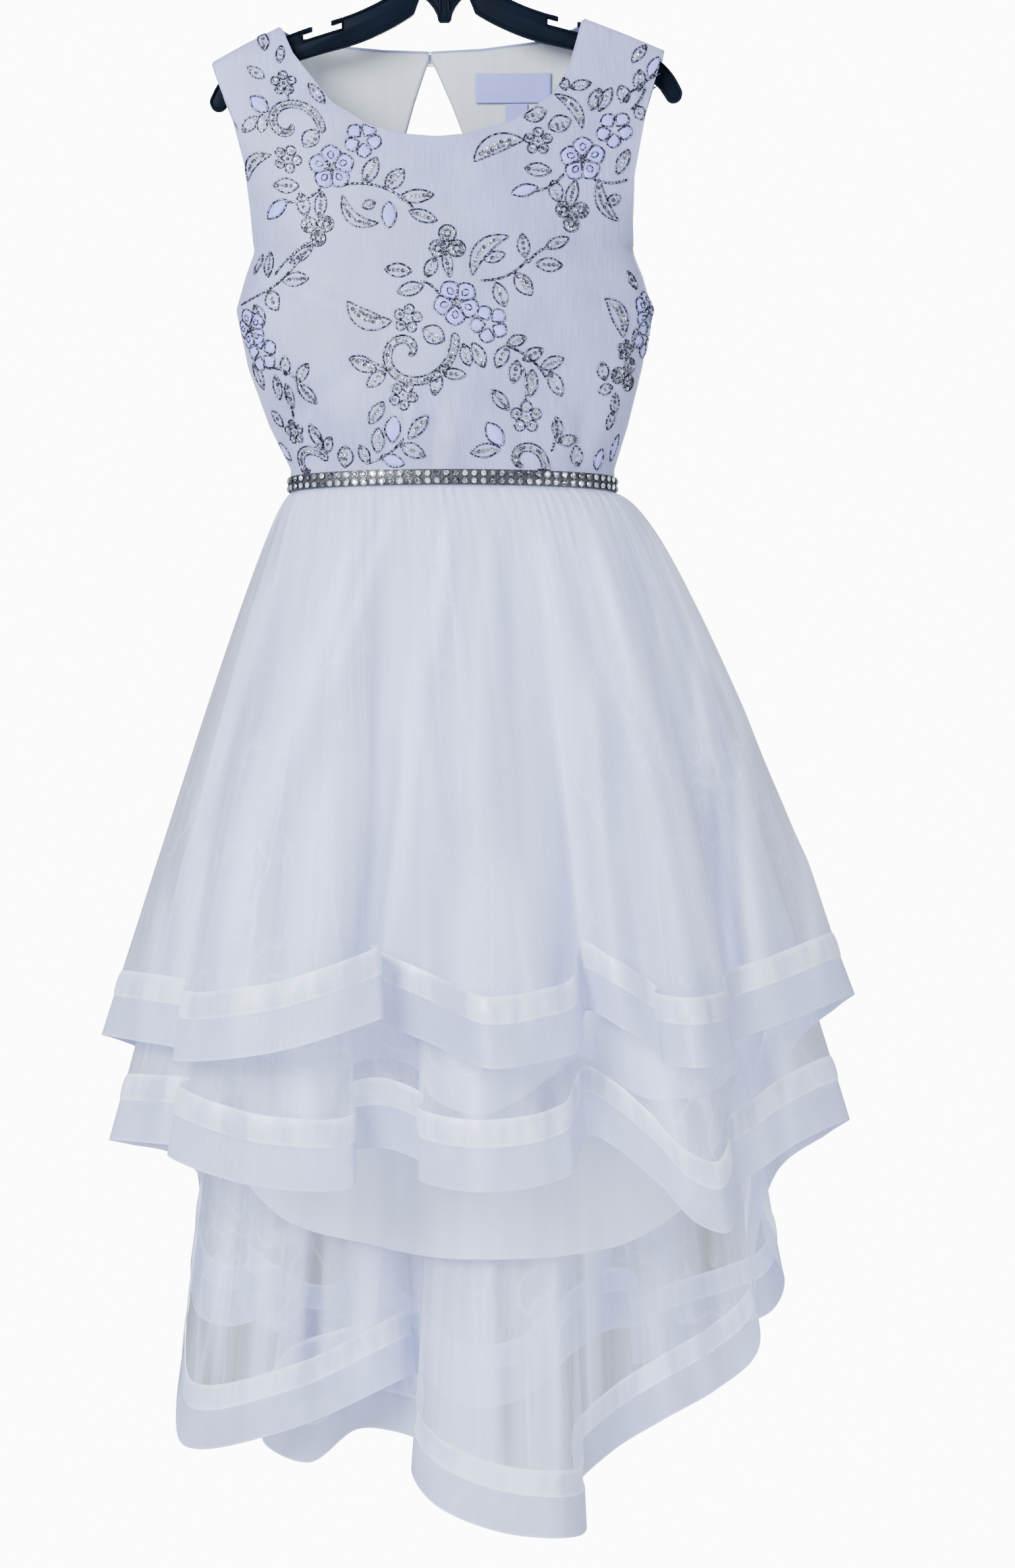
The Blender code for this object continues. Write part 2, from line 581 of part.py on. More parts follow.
def build_hanger():
    """The moulded hanger body: two arms that droop to rounded tips, and a lug under the middle."""
    right = arm_outline()
    left = [(-x, z) for x, z in right[::-1]]
    plastic = make_material("hanger", (0.008, 0.010, 0.016), 0.35)
    extruded("hanger_body", right + left, HANGER_THICKNESS, HANGER_BEVEL, plastic)


def build_hook():
    """The wire hook: straight up out of the boss, then round the crown to its open end."""
    wire = bpy.data.curves.new("hanger_hook", "CURVE")
    wire.dimensions = "3D"
    wire.bevel_depth = HOOK_WIRE / 2 * MM
    wire.bevel_resolution = 2
    wire.use_fill_caps = True
    centre_z = HOOK_WIRE / 2 - HOOK_RADIUS
    arc = np.radians(np.linspace(*HOOK_ARC, 19))
    route = [(0, HUB[-1][1] + SEAM), *HOOK_STEM]
    route += [(HOOK_RADIUS * math.cos(t), centre_z + HOOK_RADIUS * math.sin(t)) for t in arc]
    points = tilted(np.array([(x, 0.0, z) for x, z in route], float))
    spline = wire.splines.new("POLY")
    spline.points.add(len(points) - 1)
    for node, point in zip(spline.points, points):
        node.co = (*(point * MM), 1.0)
    wire.materials.append(make_material("hook", (0.62, 0.63, 0.65), 0.25, 1.0))
    bpy.context.scene.collection.objects.link(bpy.data.objects.new("hanger_hook", wire))


def build_button():
    """The domed button at the back neck, with the loop that holds it across the keyhole."""
    x, z = BUTTON_PLACE
    lowest = z - BUTTON_RADIUS - 2
    y = bodice_surface(bodice_turn(x, lowest), lowest, back=True)[1] + WALL / 2 + SEAM
    profile = ((0.0, 0.0), (0.7, 0.0), (1.0, 0.3), (0.9, 0.7), (0.55, 0.95), (0.0, 1.05))
    around = np.linspace(0, 2 * math.pi, 12, endpoint=False)
    points = [(x, y, z)]
    for radius, height in profile[1:-1]:
        for t in around:
            points.append((x + BUTTON_RADIUS * radius * math.cos(t), y + BUTTON_HEIGHT * height,
                           z + BUTTON_RADIUS * radius * math.sin(t)))
    points.append((x, y + BUTTON_HEIGHT * profile[-1][1], z))
    n = len(around)
    faces = [(0, 1 + (k + 1) % n, 1 + k) for k in range(n)]
    for ring in range(len(profile) - 3):
        for k in range(n):
            a, b = 1 + ring * n + k, 1 + ring * n + (k + 1) % n
            faces.append((a, b, b + n, a + n))
    last = 1 + (len(profile) - 3) * n
    faces += [(len(points) - 1, last + k, last + (k + 1) % n) for k in range(n)]
    make_object("button", points, faces, make_material("button", (0.85, 0.86, 0.90), 0.3))
    loop_radius = BUTTON_RADIUS + 1.1
    wire = bpy.data.curves.new("button_loop", "CURVE")
    wire.dimensions = "3D"
    wire.bevel_depth = 0.7 * MM
    wire.bevel_resolution = 1
    wire.use_fill_caps = True
    spline = wire.splines.new("POLY")
    route = [(x + 12, z + 0.9)] + [(x + loop_radius * math.cos(t), z + loop_radius * math.sin(t))
                                   for t in np.radians(np.linspace(40, 320, 11))] + [(x + 12, z - 0.9)]
    spline.points.add(len(route) - 1)
    for node, (px, pz) in zip(spline.points, route):
        node.co = (px * MM, (y + 1.0) * MM, pz * MM, 1.0)
    wire.materials.append(make_material("loop", (0.85, 0.86, 0.90), 0.5))
    bpy.context.scene.collection.objects.link(bpy.data.objects.new("button_loop", wire))


def main():
    for piece in list(bpy.data.objects):
        bpy.data.objects.remove(piece, do_unlink=True)
    build_hanger()
    build_hook()
    build_bodice()
    build_button()
    build_label("label", LABEL, make_material("label", (0.80, 0.80, 0.84), 0.6))
    build_label("size_tag", SIZE_TAG, make_material("size_tag", (0.80, 0.80, 0.84), 0.6))
    build_belt()
    build_skirt_lining()
    net = (0.84, 0.86, 0.93)
    band = (0.88, 0.89, 0.95)
    build_net_layer("outer", OUTER_FRONT, OUTER_BACK, 0.0, net, band)
    build_net_layer("inner", INNER_FRONT, INNER_BACK, LAYER_STEP, net, band)


main()
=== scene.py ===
"""Looks of a girl's sleeveless party dress with a hi-low net skirt, hanging on a moulded hanger.

Shapes are worked out in millimetres as whole numpy arrays and written to meshes in metres.
+Z is up, +X is the viewer's right and -Y is the front. The origin is where a rod carries the hook.
"""

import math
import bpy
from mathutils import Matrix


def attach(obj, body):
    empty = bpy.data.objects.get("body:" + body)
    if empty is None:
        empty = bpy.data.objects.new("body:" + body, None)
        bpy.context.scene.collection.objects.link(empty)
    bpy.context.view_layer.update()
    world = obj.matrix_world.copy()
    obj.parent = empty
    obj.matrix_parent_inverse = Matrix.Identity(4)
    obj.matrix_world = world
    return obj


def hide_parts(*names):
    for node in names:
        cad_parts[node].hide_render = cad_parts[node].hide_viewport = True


bl_info = {
    "name": "Party dress on a hanger",
    "version": (1, 0, 0),
    "blender": (4, 5, 0),
    "location": "3D View > Sidebar > Dress",
    "description": "Builds the cloth, embroidery, trims and hanger of a girl's party dress",
    "category": "Add Mesh",
}

import bpy
import numpy as np
from bpy.props import FloatProperty, FloatVectorProperty, IntProperty, PointerProperty

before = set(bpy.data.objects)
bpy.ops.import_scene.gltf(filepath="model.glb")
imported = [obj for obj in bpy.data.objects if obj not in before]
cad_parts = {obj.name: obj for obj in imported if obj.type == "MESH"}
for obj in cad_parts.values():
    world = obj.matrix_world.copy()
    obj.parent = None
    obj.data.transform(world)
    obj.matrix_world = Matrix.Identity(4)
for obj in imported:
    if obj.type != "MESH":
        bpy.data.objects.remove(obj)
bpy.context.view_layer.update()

MM = 0.001
CLOTH_UV = "cloth"
BAND_SCALE = 2 / 6.2832  # gives the wave node about one band for each unit of place

# Cloth walls and seams of the solids that the pieces stand for
WALL = 1.0
SEAM = 0.3
LAYER_STEP = 1.9

# What a sheet's width and length were cut larger by, and the cloth taken up in fine gathers
SKIRT_CUT = (1.03, 1.02)
BODICE_CUT = (1.01, 1.02)
NET_FULLNESS = 1.2
LINING_FULLNESS = 1.1

# Waist
WAIST_HALF_WIDTH = 122.0
WAIST_HALF_DEPTH = 57.0
WAIST_CENTRE_X = 8.0
WAIST_Z = -456.3
FLARE_Z = -462.5

# Skirt
BAND_HEIGHT = 51.0
FLARE = 0.70
FLARE_RIGHT = 0.05
FOLD_FADE = (1.6, 1.15)
HULL_WIDTH = 70.0
SAMPLES = 16  # columns in each half of a stretch of hem
NET_ROWS = 64
LINING_ROWS = 48
STRIP_ROWS = 8
BRAID_ROWS = 8
ABOVE_FLARE = (0.0, 0.006)  # cloth from the flare up to the waist seam, in metres

# Each row is one stretch of hem, left to right in front and right to left behind:
# its name, its x at the start, middle and end, then its y, then the z of its lower edge.
OUTER_FRONT = (
    ("left wing", -254, -221, -187, -20, -57, -80, -870, -871, -875),
    ("left lap", -189, -112, -39, -106, -144, -138, -880, -870, -847),
    ("centre", -49, -7, 35, -104, -116, -166, -850, -866, -879),
    ("centre flute", 52, 77, 101, -164, -146, -127, -879, -876, -870),
    ("right slope", 106, 131, 162, -98, -127, -132, -845, -855, -874),
    ("right flute", 158, 181, 209, -150, -173, -140, -877, -878, -876),
    ("right wing", 211, 256, 309, -110, -84, -22, -867, -853, -839),
)
OUTER_BACK = (
    ("right fall", 301, 270, 248, 22, 54, 74, -853, -888, -984),
    ("right bulge", 251, 270, 261, 94, 106, 118, -1038, -1077, -1104),
    ("right lap", 233, 191, 150, 118, 112, 108, -1116, -1128, -1144),
    ("right gap", 158, 135, 108, 132, 146, 144, -1124, -1124, -1139),
    ("centre", 60, 12, -31, 134, 132, 140, -1178, -1183, -1147),
    ("left gap", -57, -78, -91, 142, 136, 122, -1128, -1119, -1131),
    ("left lap", -113, -141, -166, 110, 100, 97, -1130, -1113, -1094),
    ("left underlap", -155, -175, -198, 128, 126, 112, -1113, -1118, -1105),
    ("left fall", -201, -193, -211, 97, 84, 60, -1066, -1004, -913),
    ("left wing", -223, -236, -248, 46, 28, 4, -892, -883, -875),
)
INNER_FRONT = (
    ("left wing", -248, -220, -189, -24, -44, -62, -948, -947, -948),
    ("left lap", -195, -129, -60, -88, -120, -112, -951, -968, -969),
    ("left gap", -67, -42, -10, -84, -80, -90, -950, -946, -957),
    ("centre", -13, 35, 95, -108, -134, -114, -965, -970, -960),
    ("right slope", 108, 157, 183, -84, -118, -139, -936, -966, -991),
    ("right flute", 204, 214, 214, -138, -116, -96, -998, -985, -972),
    ("right wing", 230, 263, 305, -84, -64, -22, -963, -944, -933),
)
INNER_BACK = (
    ("right fall", 293, 257, 239, 16, 38, 52, -949, -981, -1065),
    ("right lap", 245, 215, 174, 64, 78, 84, -1124, -1157, -1182),
    ("column right", 133, 102, 111, 94, 84, 42, -1210, -1238, -1257),
    ("column front", 95, 44, -6, 14, 4, 18, -1256, -1249, -1232),
    ("column left", -25, -19, -42, 46, 84, 105, -1213, -1201, -1197),
    ("left drape", -71, -108, -144, 110, 105, 101, -1197, -1222, -1205),
    ("left underlap", -133, -81, -22, 90, 86, 82, -1180, -1161, -1146),
    ("left lap", -32, -115, -193, 63, 60, 60, -1146, -1183, -1200),
    ("left fall", -206, -195, -188, 57, 45, 38, -1192, -1074, -1022),
    ("left wing", -185, -205, -234, 26, 10, -6, -985, -963, -954),
)
LINING_FRONT = (
    ("left", -192, -156, -122, -26, -60, -76, -880, -880, -884),
    ("left scallop", -113, -95, -76, -88, -92, -88, -915, -920, -917),
    ("left gap", -68, -45, -17, -70, -62, -70, -890, -883, -890),
    ("centre scallop", -4, 33, 67, -88, -102, -92, -910, -919, -904),
    ("right gap", 88, 106, 126, -80, -72, -80, -889, -881, -897),
    ("right scallop", 151, 180, 206, -92, -92, -66, -909, -908, -903),
    ("right side", 216, 221, 220, -40, -20, 6, -898, -899, -912),
)
LINING_BACK = (
    ("right", 210, 186, 146, 26, 38, 40, -959, -1007, -1034),
    ("centre", 94, 44, -6, 14, -2, 12, -1041, -1041, -1042),
    ("left", -57, -123, -163, 40, 38, 30, -1037, -1017, -970),
    ("left side", -180, -189, -193, 16, 2, -12, -928, -901, -886),
)

# Soft folds of the skirt's front, as ridges, or troughs if the depth is negative:
# x and z at the upper and the lower end, half width and depth
FRONT_FOLDS = (
    (-31, -560, -59, -830, 7, 3.4), (-48, -640, -74, -850, 11, -3.0), (88, -600, 108, -850, 7, 3.2),
    (100, -640, 124, -850, 12, -2.6), (203, -640, 212, -860, 8, 3.4), (190, -660, 196, -860, 10, -2.8),
    (-98, -670, -110, -830, 9, 2.6), (59, -600, 82, -800, 9, 2.0), (-140, -521, -200, -720, 8, 2.4),
    (-78, -488, -170, -790, 8, 2.8), (-55, -479, -100, -620, 6, 2.0), (-12, -479, -27, -600, 6, 2.2),
    (16, -490, 11, -720, 8, 2.6), (28, -500, 34, -640, 6, -1.8), (54, -485, 88, -690, 8, 2.4),
    (87, -484, 155, -700, 8, 2.6), (130, -479, 217, -655, 8, 2.6), (153, -690, 184, -840, 9, 2.4),
    (229, -660, 276, -800, 9, 2.4), (250, -690, 262, -850, 6, 1.8), (-150, -700, -158, -870, 8, 2.4),
    (-190, -700, -214, -880, 8, 2.6), (-222, -760, -238, -870, 6, 1.8), (-4, -700, -8, -880, 12, -2.6),
    (40, -740, 48, -870, 7, 2.2), (-28, -620, -22, -760, 7, 1.6), (140, -540, 152, -640, 6, 1.6),
    (-118, -560, -142, -660, 6, -1.8), (72, -700, 66, -860, 7, -1.8), (170, -560, 176, -690, 7, 1.8),
    (-200, -890, -206, -970, 8, 2.2), (-150, -900, -158, -975, 9, -2.2), (-100, -880, -96, -970, 7, 2.4),
    (20, -880, 26, -975, 8, 2.2), (74, -890, 80, -970, 7, -2.0), (150, -880, 172, -985, 8, 2.4),
    (246, -860, 256, -950, 8, 2.0),
)
BACK_FOLDS = (
    (-30, -480, -52, -760, 8, 2.6), (24, -490, 34, -700, 7, 2.2), (70, -480, 120, -780, 8, 2.6),
    (-80, -484, -150, -740, 8, 2.4), (118, -480, 190, -720, 8, 2.4), (-118, -490, -186, -700, 8, 2.2),
    (-10, -600, -14, -900, 9, -2.2), (60, -640, 74, -960, 8, 2.6), (-70, -660, -84, -980, 9, 2.6),
    (130, -700, 160, -1080, 9, 2.8), (-150, -700, -176, -1060, 9, 2.6), (196, -720, 240, -1040, 8, 2.4),
    (-190, -700, -214, -980, 8, 2.2), (12, -820, 6, -1220, 7, 2.8), (36, -900, 44, -1230, 6, -2.0),
    (70, -940, 82, -1220, 7, 2.4), (-20, -960, -30, -1190, 6, 2.0), (-60, -960, -70, -1180, 8, 2.4),
    (-104, -980, -112, -1200, 7, -2.2), (-140, -1000, -152, -1190, 8, 2.2), (-176, -960, -182, -1160, 6, 2.0),
    (150, -980, 166, -1180, 8, 2.4), (190, -960, 206, -1160, 7, -2.0), (224, -900, 240, -1110, 7, 2.0),
    (108, -1000, 112, -1200, 7, 2.2), (252, -860, 268, -1000, 6, 1.8),
)
PUCKERS = (-124.0, 34.0)  # x of the middle of the puckered strip, and half of its length
PUCKER_PITCH = 10.0
FOLD_END = 0.15  # how far a fold or crease runs on past its ends, as a share of its length
COLUMN_X = (-22.0, 92.0)  # the drawn-in column of the inner net behind
COLUMN_EDGE = 18.0
COLUMN_TOP = (-880.0, 80.0)  # z where it starts, and the height over which it does

# Bodice: z, left and right side seam, how far the front and the back stand out
BODICE_LEVELS = (
    (-456.3, -114, 130, 57, 57),
    (-444, -114, 130, 57, 57),
    (-412, -130, 140, 58, 58),
    (-368, -146, 151, 57, 57),
    (-325, -155, 159, 55, 55),
    (-300, -148, 152, 53, 53),
    (-280, -141, 144, 50, 51),
    (-250, -149, 152, 46, 49),
    (-218, -160, 163, 41, 45),
    (-184, -178, 177, 33, 39),
    (-150, -194, 194, 22, 33),
    (-121, -212, 210, 14, 29),
    (-100, -215, 207, 11, 25),
)
SEAM_TURN = math.radians(89)
BODICE_SQUARENESS = 0.3
SQUARE_FROM = -444.0
SQUARE_OVER = 60.0
RIDGE_GAP = 0.3
RIDGE_READ = 1.5
SHOULDER_ROUND = 2.0

ARMHOLE_LEFT = ((-141, -280), (-143, -251), (-147, -218), (-156, -184), (-170, -148), (-173, -138))
SHOULDER_LEFT = ((-173, -138), (-147, -123.5), (-122, -111))
ARMHOLE_RIGHT = ((144, -280), (143, -262), (144, -226), (154, -172), (163, -142), (168, -129))
SHOULDER_RIGHT = ((168, -129), (137, -116), (107, -104.5))
NECK_FRONT = (
    (-122, -111), (-112, -134), (-82, -174), (-53, -193), (-27, -200), (-3, -202),
    (18, -200), (54, -189), (83, -168), (96, -146), (107, -104.5),
)
NECK_BACK_LEFT = ((-122, -111), (-82, -117), (-45, -120), (-10, -121))
NECK_BACK_RIGHT = ((107, -104.5), (72, -114), (30, -119), (-10, -121))
BACK_OPENING_X = (-10.0, 8.0)
KEYHOLE = ((-121, 1.2), (-127, 1.2), (-135, 5), (-160, 15), (-183, 23), (-215, 27), (-240, 21),
           (-256, 9), (-262, 0.15))

# Soft creases of the bodice front: x and z at both ends, half width and depth (a ridge if negative)
FRONT_CREASES = (
    (-40, -452, -34, -395, 6, 2.7),
    (-22, -452, -20, -380, 7, -3.1),
    (-6, -452, -2, -402, 5, 2.4),
    (10, -452, 10, -420, 5, -1.7),
    (62, -452, 58, -410, 6, 1.9),
    (-84, -452, -92, -400, 7, 2.2),
    (100, -452, 112, -390, 8, 2.2),
    (-136, -306, -60, -336, 9, 2.0),
    (138, -308, 70, -338, 9, 2.0),
    (-120, -420, -40, -360, 9, 1.5),
    (124, -424, 60, -370, 9, 1.5),
)
BACK_CREASES = (
    (-30, -452, -34, -400, 6, 2.0),
    (46, -452, 50, -396, 6, 2.0),
    (-80, -452, -92, -396, 8, 2.2),
    (92, -452, 104, -396, 8, 2.2),
    (-132, -300, -70, -340, 9, 2.0),
    (134, -304, 78, -342, 9, 2.0),
)

# Rings of a sequin, from its rim to its hole and back under it: radius, height, and how much painted shade it
# takes, most at the rim and underneath, half at the edge of the hole, little between
SEQUIN_RINGS = (
    (1.0, 0.12, 1.0), (0.78, 0.06, 0.1), (0.30, 0.02, 0.5), (0.30, -0.06, 1.0), (1.0, 0.02, 1.0),
)
SEQUIN_TILT = 0.16
SEQUIN_LIFT = 0.35
SEQUIN_SEED = 21
WIDE_LEAF = 11.0  # wider leaves take a second row of sequins
CORD_END = 0.02  # share of its section that a cord, binding or rib has at an open end
# Behind, motifs nearer to the middle than this lie only below the height: the keyhole is there
BACK_CLEAR_X = 44.0
BACK_CLEAR_X_BENT = 50.0
BACK_CLEAR_Z = -285.0

# Embroidery of the front, placed about each motif's middle in x and z.
# Leaves: x, z, the way the tip points in degrees, length, width, and 1 if filled with satin stitch
LEAVES = (
    (-134, -124, 90, 15, 8), (-121, -135, 75, 14, 6), (-139, -149, 140, 14, 8),
    (-136, -174, 130, 16, 12, 1), (-143, -189, 215, 18, 8), (-134, -189, 250, 14, 8),
    (-93, -167, -55, 20, 8), (-97, -202, 225, 17, 12), (-52, -228, 65, 22, 11), (-34, -235, 50, 20, 12),
    (-18, -248, 5, 26, 10), (-13, -263, -20, 22, 9), (-38, -262, -90, 20, 11, 1),
    (-115, -237, 175, 20, 11), (-122, -254, 215, 22, 10, 1), (-102, -252, -80, 18, 10),
    (-89, -253, -100, 20, 9), (148, -134, 60, 16, 8), (159, -144, 80, 16, 9, 1), (148, -155, 100, 17, 9),
    (136, -166, 120, 15, 9), (148, -180, -50, 13, 8), (104, -160, 15, 16, 8), (92, -159, 100, 11, 7),
    (115, -171, 75, 18, 10), (122, -171, 70, 20, 9), (88, -191, 200, 18, 13), (70, -184, 200, 17, 12),
    (72, -227, 175, 20, 10), (62, -243, 195, 20, 9, 1), (85, -243, -70, 17, 10), (97, -245, -100, 22, 9),
    (135, -218, 75, 20, 9), (128, -247, 30, 12, 8), (-53, -254, 20, 10, 7), (5, -299, -80, 21, 7),
    (40, -294, 20, 16, 8), (61, -285, 95, 18, 9), (86, -282, 25, 20, 8), (80, -299, 0, 20, 10),
    (61, -314, -55, 20, 12), (44, -322, -70, 19, 10), (-31, -304, 175, 20, 10), (-7, -302, 65, 16, 9),
    (-22, -318, 195, 20, 10), (-5, -352, 150, 18, 14), (-57, -373, 155, 22, 11), (-47, -384, 220, 18, 9),
    (10, -381, -5, 18, 8), (-3, -388, -100, 18, 9), (19, -367, -75, 17, 9), (28, -367, -65, 20, 10),
    (45, -368, -115, 18, 10), (56, -356, 20, 15, 8), (55, -379, -100, 17, 9), (68, -366, 30, 17, 9),
    (82, -372, 25, 19, 9), (67, -387, -95, 20, 9), (85, -387, -60, 20, 10), (-47, -409, 235, 19, 9),
    (44, -400, 130, 19, 9), (-35, -421, 85, 20, 12, 1), (-16, -420, 50, 22, 9), (-46, -429, 85, 18, 9),
    (-20, -437, -25, 20, 10), (-35, -444, -20, 19, 9, 1), (-56, -439, 110, 15, 8),
    (-70, -440, 80, 16, 12), (40, -425, 125, 20, 12, 1), (33, -437, 190, 22, 10), (86, -419, 95, 15, 8),
    (94, -428, 10, 17, 8), (101, -439, 100, 15, 10), (117, -440, 80, 16, 8, 1), (129, -430, 85, 20, 7, 1),
    (-93, -424, 105, 18, 8), (-84, -431, 50, 14, 8), (-122, -409, 120, 14, 8),
    (-117, -432, 120, 16, 9, 1), (-103, -290, 35, 20, 9), (-128, -295, 100, 20, 8),
    (-108, -308, 0, 22, 10), (-125, -323, -60, 18, 11), (-136, -294, 75, 15, 6),
    (-135, -333, -70, 17, 10), (-115, -372, 80, 14, 8), (-102, -378, 50, 17, 8), (-99, -393, -50, 20, 9),
    (-121, -387, -95, 18, 8), (-112, -394, -85, 18, 7), (-136, -377, -80, 20, 10),
    (142, -306, 110, 14, 7), (120, -376, 110, 14, 9), (122, -389, 200, 12, 8), (129, -399, -80, 16, 8),
    (126, -411, -100, 14, 7), (145, -349, -80, 14, 8),
)
# Bent leaves: x, z, the way the tip points, length, width, bend
CRESCENTS = (
    (-136, -222, 215, 30, 8, -6), (-59, -257, -40, 34, 9, -9), (95, -181, -50, 34, 8, 5),
    (43, -213, 205, 40, 14, -6), (125, -247, -55, 36, 9, -6), (37, -293, 48, 40, 11, 8),
    (-52, -334, -25, 36, 14, -7), (129, -336, -58, 32, 13, 4),
)
# Five-petal flowers: x, z, the way the first petal points, radius
FLOWERS = (
    (-81, -225, 90, 17), (105, -218, 95, 17), (12, -328, 120, 17), (-142, -342, 100, 15),
    (154, -327, 90, 14),
)
# Rings of round petals: x, z, the way the first points, and their radius
CLUSTERS = (
    (-58, -204, 60, 8.6), (129, -194, 60, 8.6), (36, -344, -30, 8.6), (-133, -361, -50, 8.6),
    (152, -348, -90, 8.6),
)
# Small open flowers: x, z, the way the first petal points, radius
BLOSSOMS = (
    (-118, -158, 90, 10), (-114, -217, 60, 11), (72, -205, 90, 11), (-24, -340, 80, 11),
    (-27, -397, 60, 11), (63, -412, 90, 12), (-109, -420, 90, 9), (137, -359, 90, 8),
)
# Three round petals: x, z, the way the first points, radius
TREFOILS = (
    (-91, -271, -90, 13), (97, -260, -90, 13), (5, -284, 90, 14), (137, -377, 70, 13),
)
# Scrolls: x and z of the eye, start in degrees, sweep, first radius, growth for each radian
SCROLLS = (
    (-115, -191, 0, -375, 3.6, 0.31), (-25, -364, -60, 440, 3.8, 0.3), (61, -444, -90, -330, 3.4, 0.33),
    (-98, -445, -60, -290, 3.2, 0.33),
)
# Stems: x and z at both ends, bend
STEMS = (
    (-72, -235, -18, -254, 8), (-87, -242, -117, -251, 4), (-94, -277, -123, -303, -3),
    (92, -230, 70, -245, 3), (112, -234, 140, -232, -3), (151, -160, 144, -179, 2),
    (135, -173, 160, -148, 2), (30, -314, 66, -297, -5), (63, -298, 81, -284, 2),
    (-14, -311, 0, -322, 2), (48, -358, 81, -383, 4), (61, -374, 63, -402, 3),
    (-54, -447, -25, -429, -3), (-94, -285, -150, -327, 8), (-128, -370, -100, -389, 6),
    (-117, -382, -111, -411, 3), (-62, -369, -36, -378, 2), (-5, -379, 8, -374, 2),
    (85, -410, 83, -437, 2), (-94, -418, -87, -436, 2), (-118, -162, -114, -171, 1),
)

# Belt
BELT_HEIGHT = 11.4
BELT_BASE = 1.0
STONES_ROUND = 86
STONE_SEED = 5
# Rings of a cut stone under its flat top, and of its cup: radius, height and for stones the turn
STONE_RINGS = ((0.80, 0.10, 0.0), (0.76, 0.30, math.pi / 8), (0.45, 0.58, 0.0))
CUP_RINGS = ((1.0, -0.05), (1.0, 0.24), (0.78, 0.24), (0.78, -0.05))

# Hanger
HANGER_TILT = math.radians(1.1)
HANGER_THICKNESS = 8.0
# Middle line of an arm, and half of its height square to the line: x, z, half height
ARM_LINE = (
    (0, -74, 11), (16, -82, 10.8), (35, -95, 10.8), (48, -102, 10.8), (68, -110.5, 10.8), (101, -119, 10.4),
    (125, -127, 9.6), (145, -136.5, 8.6), (160, -146.5, 7.6), (168, -155, 7.0), (172, -164, 6.6),
)
LUG = ((3.5, -106.3), (4.9, -105), (6, -100), (8.5, -95), (12.4, -90), (15, -88), (18.5, -88))
HUB = ((6.5, -65.5), (5, -60))
NOTCH = (107, 78)
NOTCH_MOUTH = (100, 86)
NOTCH_DEPTH = 8.0
BARB = 3.0
RIB_X = 3.2
RIB_RADIUS = 1.4
HOOK_RADIUS = 21.0
HOOK_WIRE = 3.6
HOOK_STEM = ((0.6, -54), (3.2, -47.5), (7.6, -41.2))
HOOK_ARC = (-50, 190)

# Small pieces at the back neck
BUTTON_RADIUS = 4.2
BUTTON_HEIGHT = 3.0
BUTTON_PLACE = (-9.4, -125.5)
LOOP_GAP = 1.1
LOOP_RADIUS = 0.7
LABEL = (25.0, 83.0, -159.0, -137.0)
SIZE_TAG = (48.0, 65.0, -176.0, -159.6)
LABEL_THICKNESS = 0.5

# Camera: level, in front of the middle of the picture, place in metres and lens in millimetres
CAMERA = (0.0495, -2.0, -0.682)
SENSOR = 36.0
LENS = 60.75
VIEW_END = 50.0

# Lamps, in metres: name, x, y, z, size, share of the main light's power
LAMPS = (
    ("key_light", -1.5, -2.3, 0.5, 1.6, 1.0),
    ("fill_light", 1.9, -1.8, -0.9, 1.8, 0.22),
    ("back_light", 0.4, 2.2, 0.4, 1.6, 0.5),
)
LAMP_AIM_Z = -0.7
LAMP_COLOUR = (0.93, 0.96, 1.0)
SKY_COLOUR = (0.88, 0.93, 1.0, 1.0)
FLOOR_RADIUS = 2000.0


def colour_property(name, description, default):
    """A colour that the user may change."""
    return FloatVectorProperty(name=name, description=description, default=default, size=3,
                               min=0.0, max=1.0, subtype="COLOR")


def length_property(name, description, default):
    """A length in metres that the user may change."""
    return FloatProperty(name=name, description=description, default=default, min=0.0,
                         subtype="DISTANCE", unit="LENGTH")


def share_property(name, description, default):
    """A share from 0 to 1 that the user may change."""
    return FloatProperty(name=name, description=description, default=default, min=0.0, max=1.0,
                         subtype="FACTOR")


class SkirtSettings(bpy.types.PropertyGroup):
    """Sizes and colours of the skirt."""

    gathers: IntProperty(name="Gathers", description="Gathers round the waist", default=84, min=8)
    gather_depth: length_property("Gather depth", "Half height of a gather below the belt", 0.0016)
    fold_depth: length_property("Fold depth", "Half height of the long soft waves at the hem", 0.0016)
    crease_depth: share_property("Fold height", "Share of the tables' folds that is built", 0.8)
    strip_height: length_property("Strip height", "Height of the satin strip on each hem band", 0.020)
    strip_swell: length_property("Strip swell", "How far the satin strip stands out", 0.0013)
    net_colour: colour_property("Net", "Colour of the net", (0.68, 0.74, 1.0))
    net_cover: share_property("Net cover", "How much the net hides", 0.30)
    braid_cover: share_property("Braid cover", "How much the hem braid hides", 0.74)
    strip_colour: colour_property("Strip", "Colour of the satin strip", (0.60, 0.66, 0.96))
    braid_colour: colour_property("Braid", "Colour of the hem braid", (0.50, 0.56, 0.84))
    lining_colour: colour_property("Lining", "Colour of the skirt lining", (0.68, 0.74, 1.0))


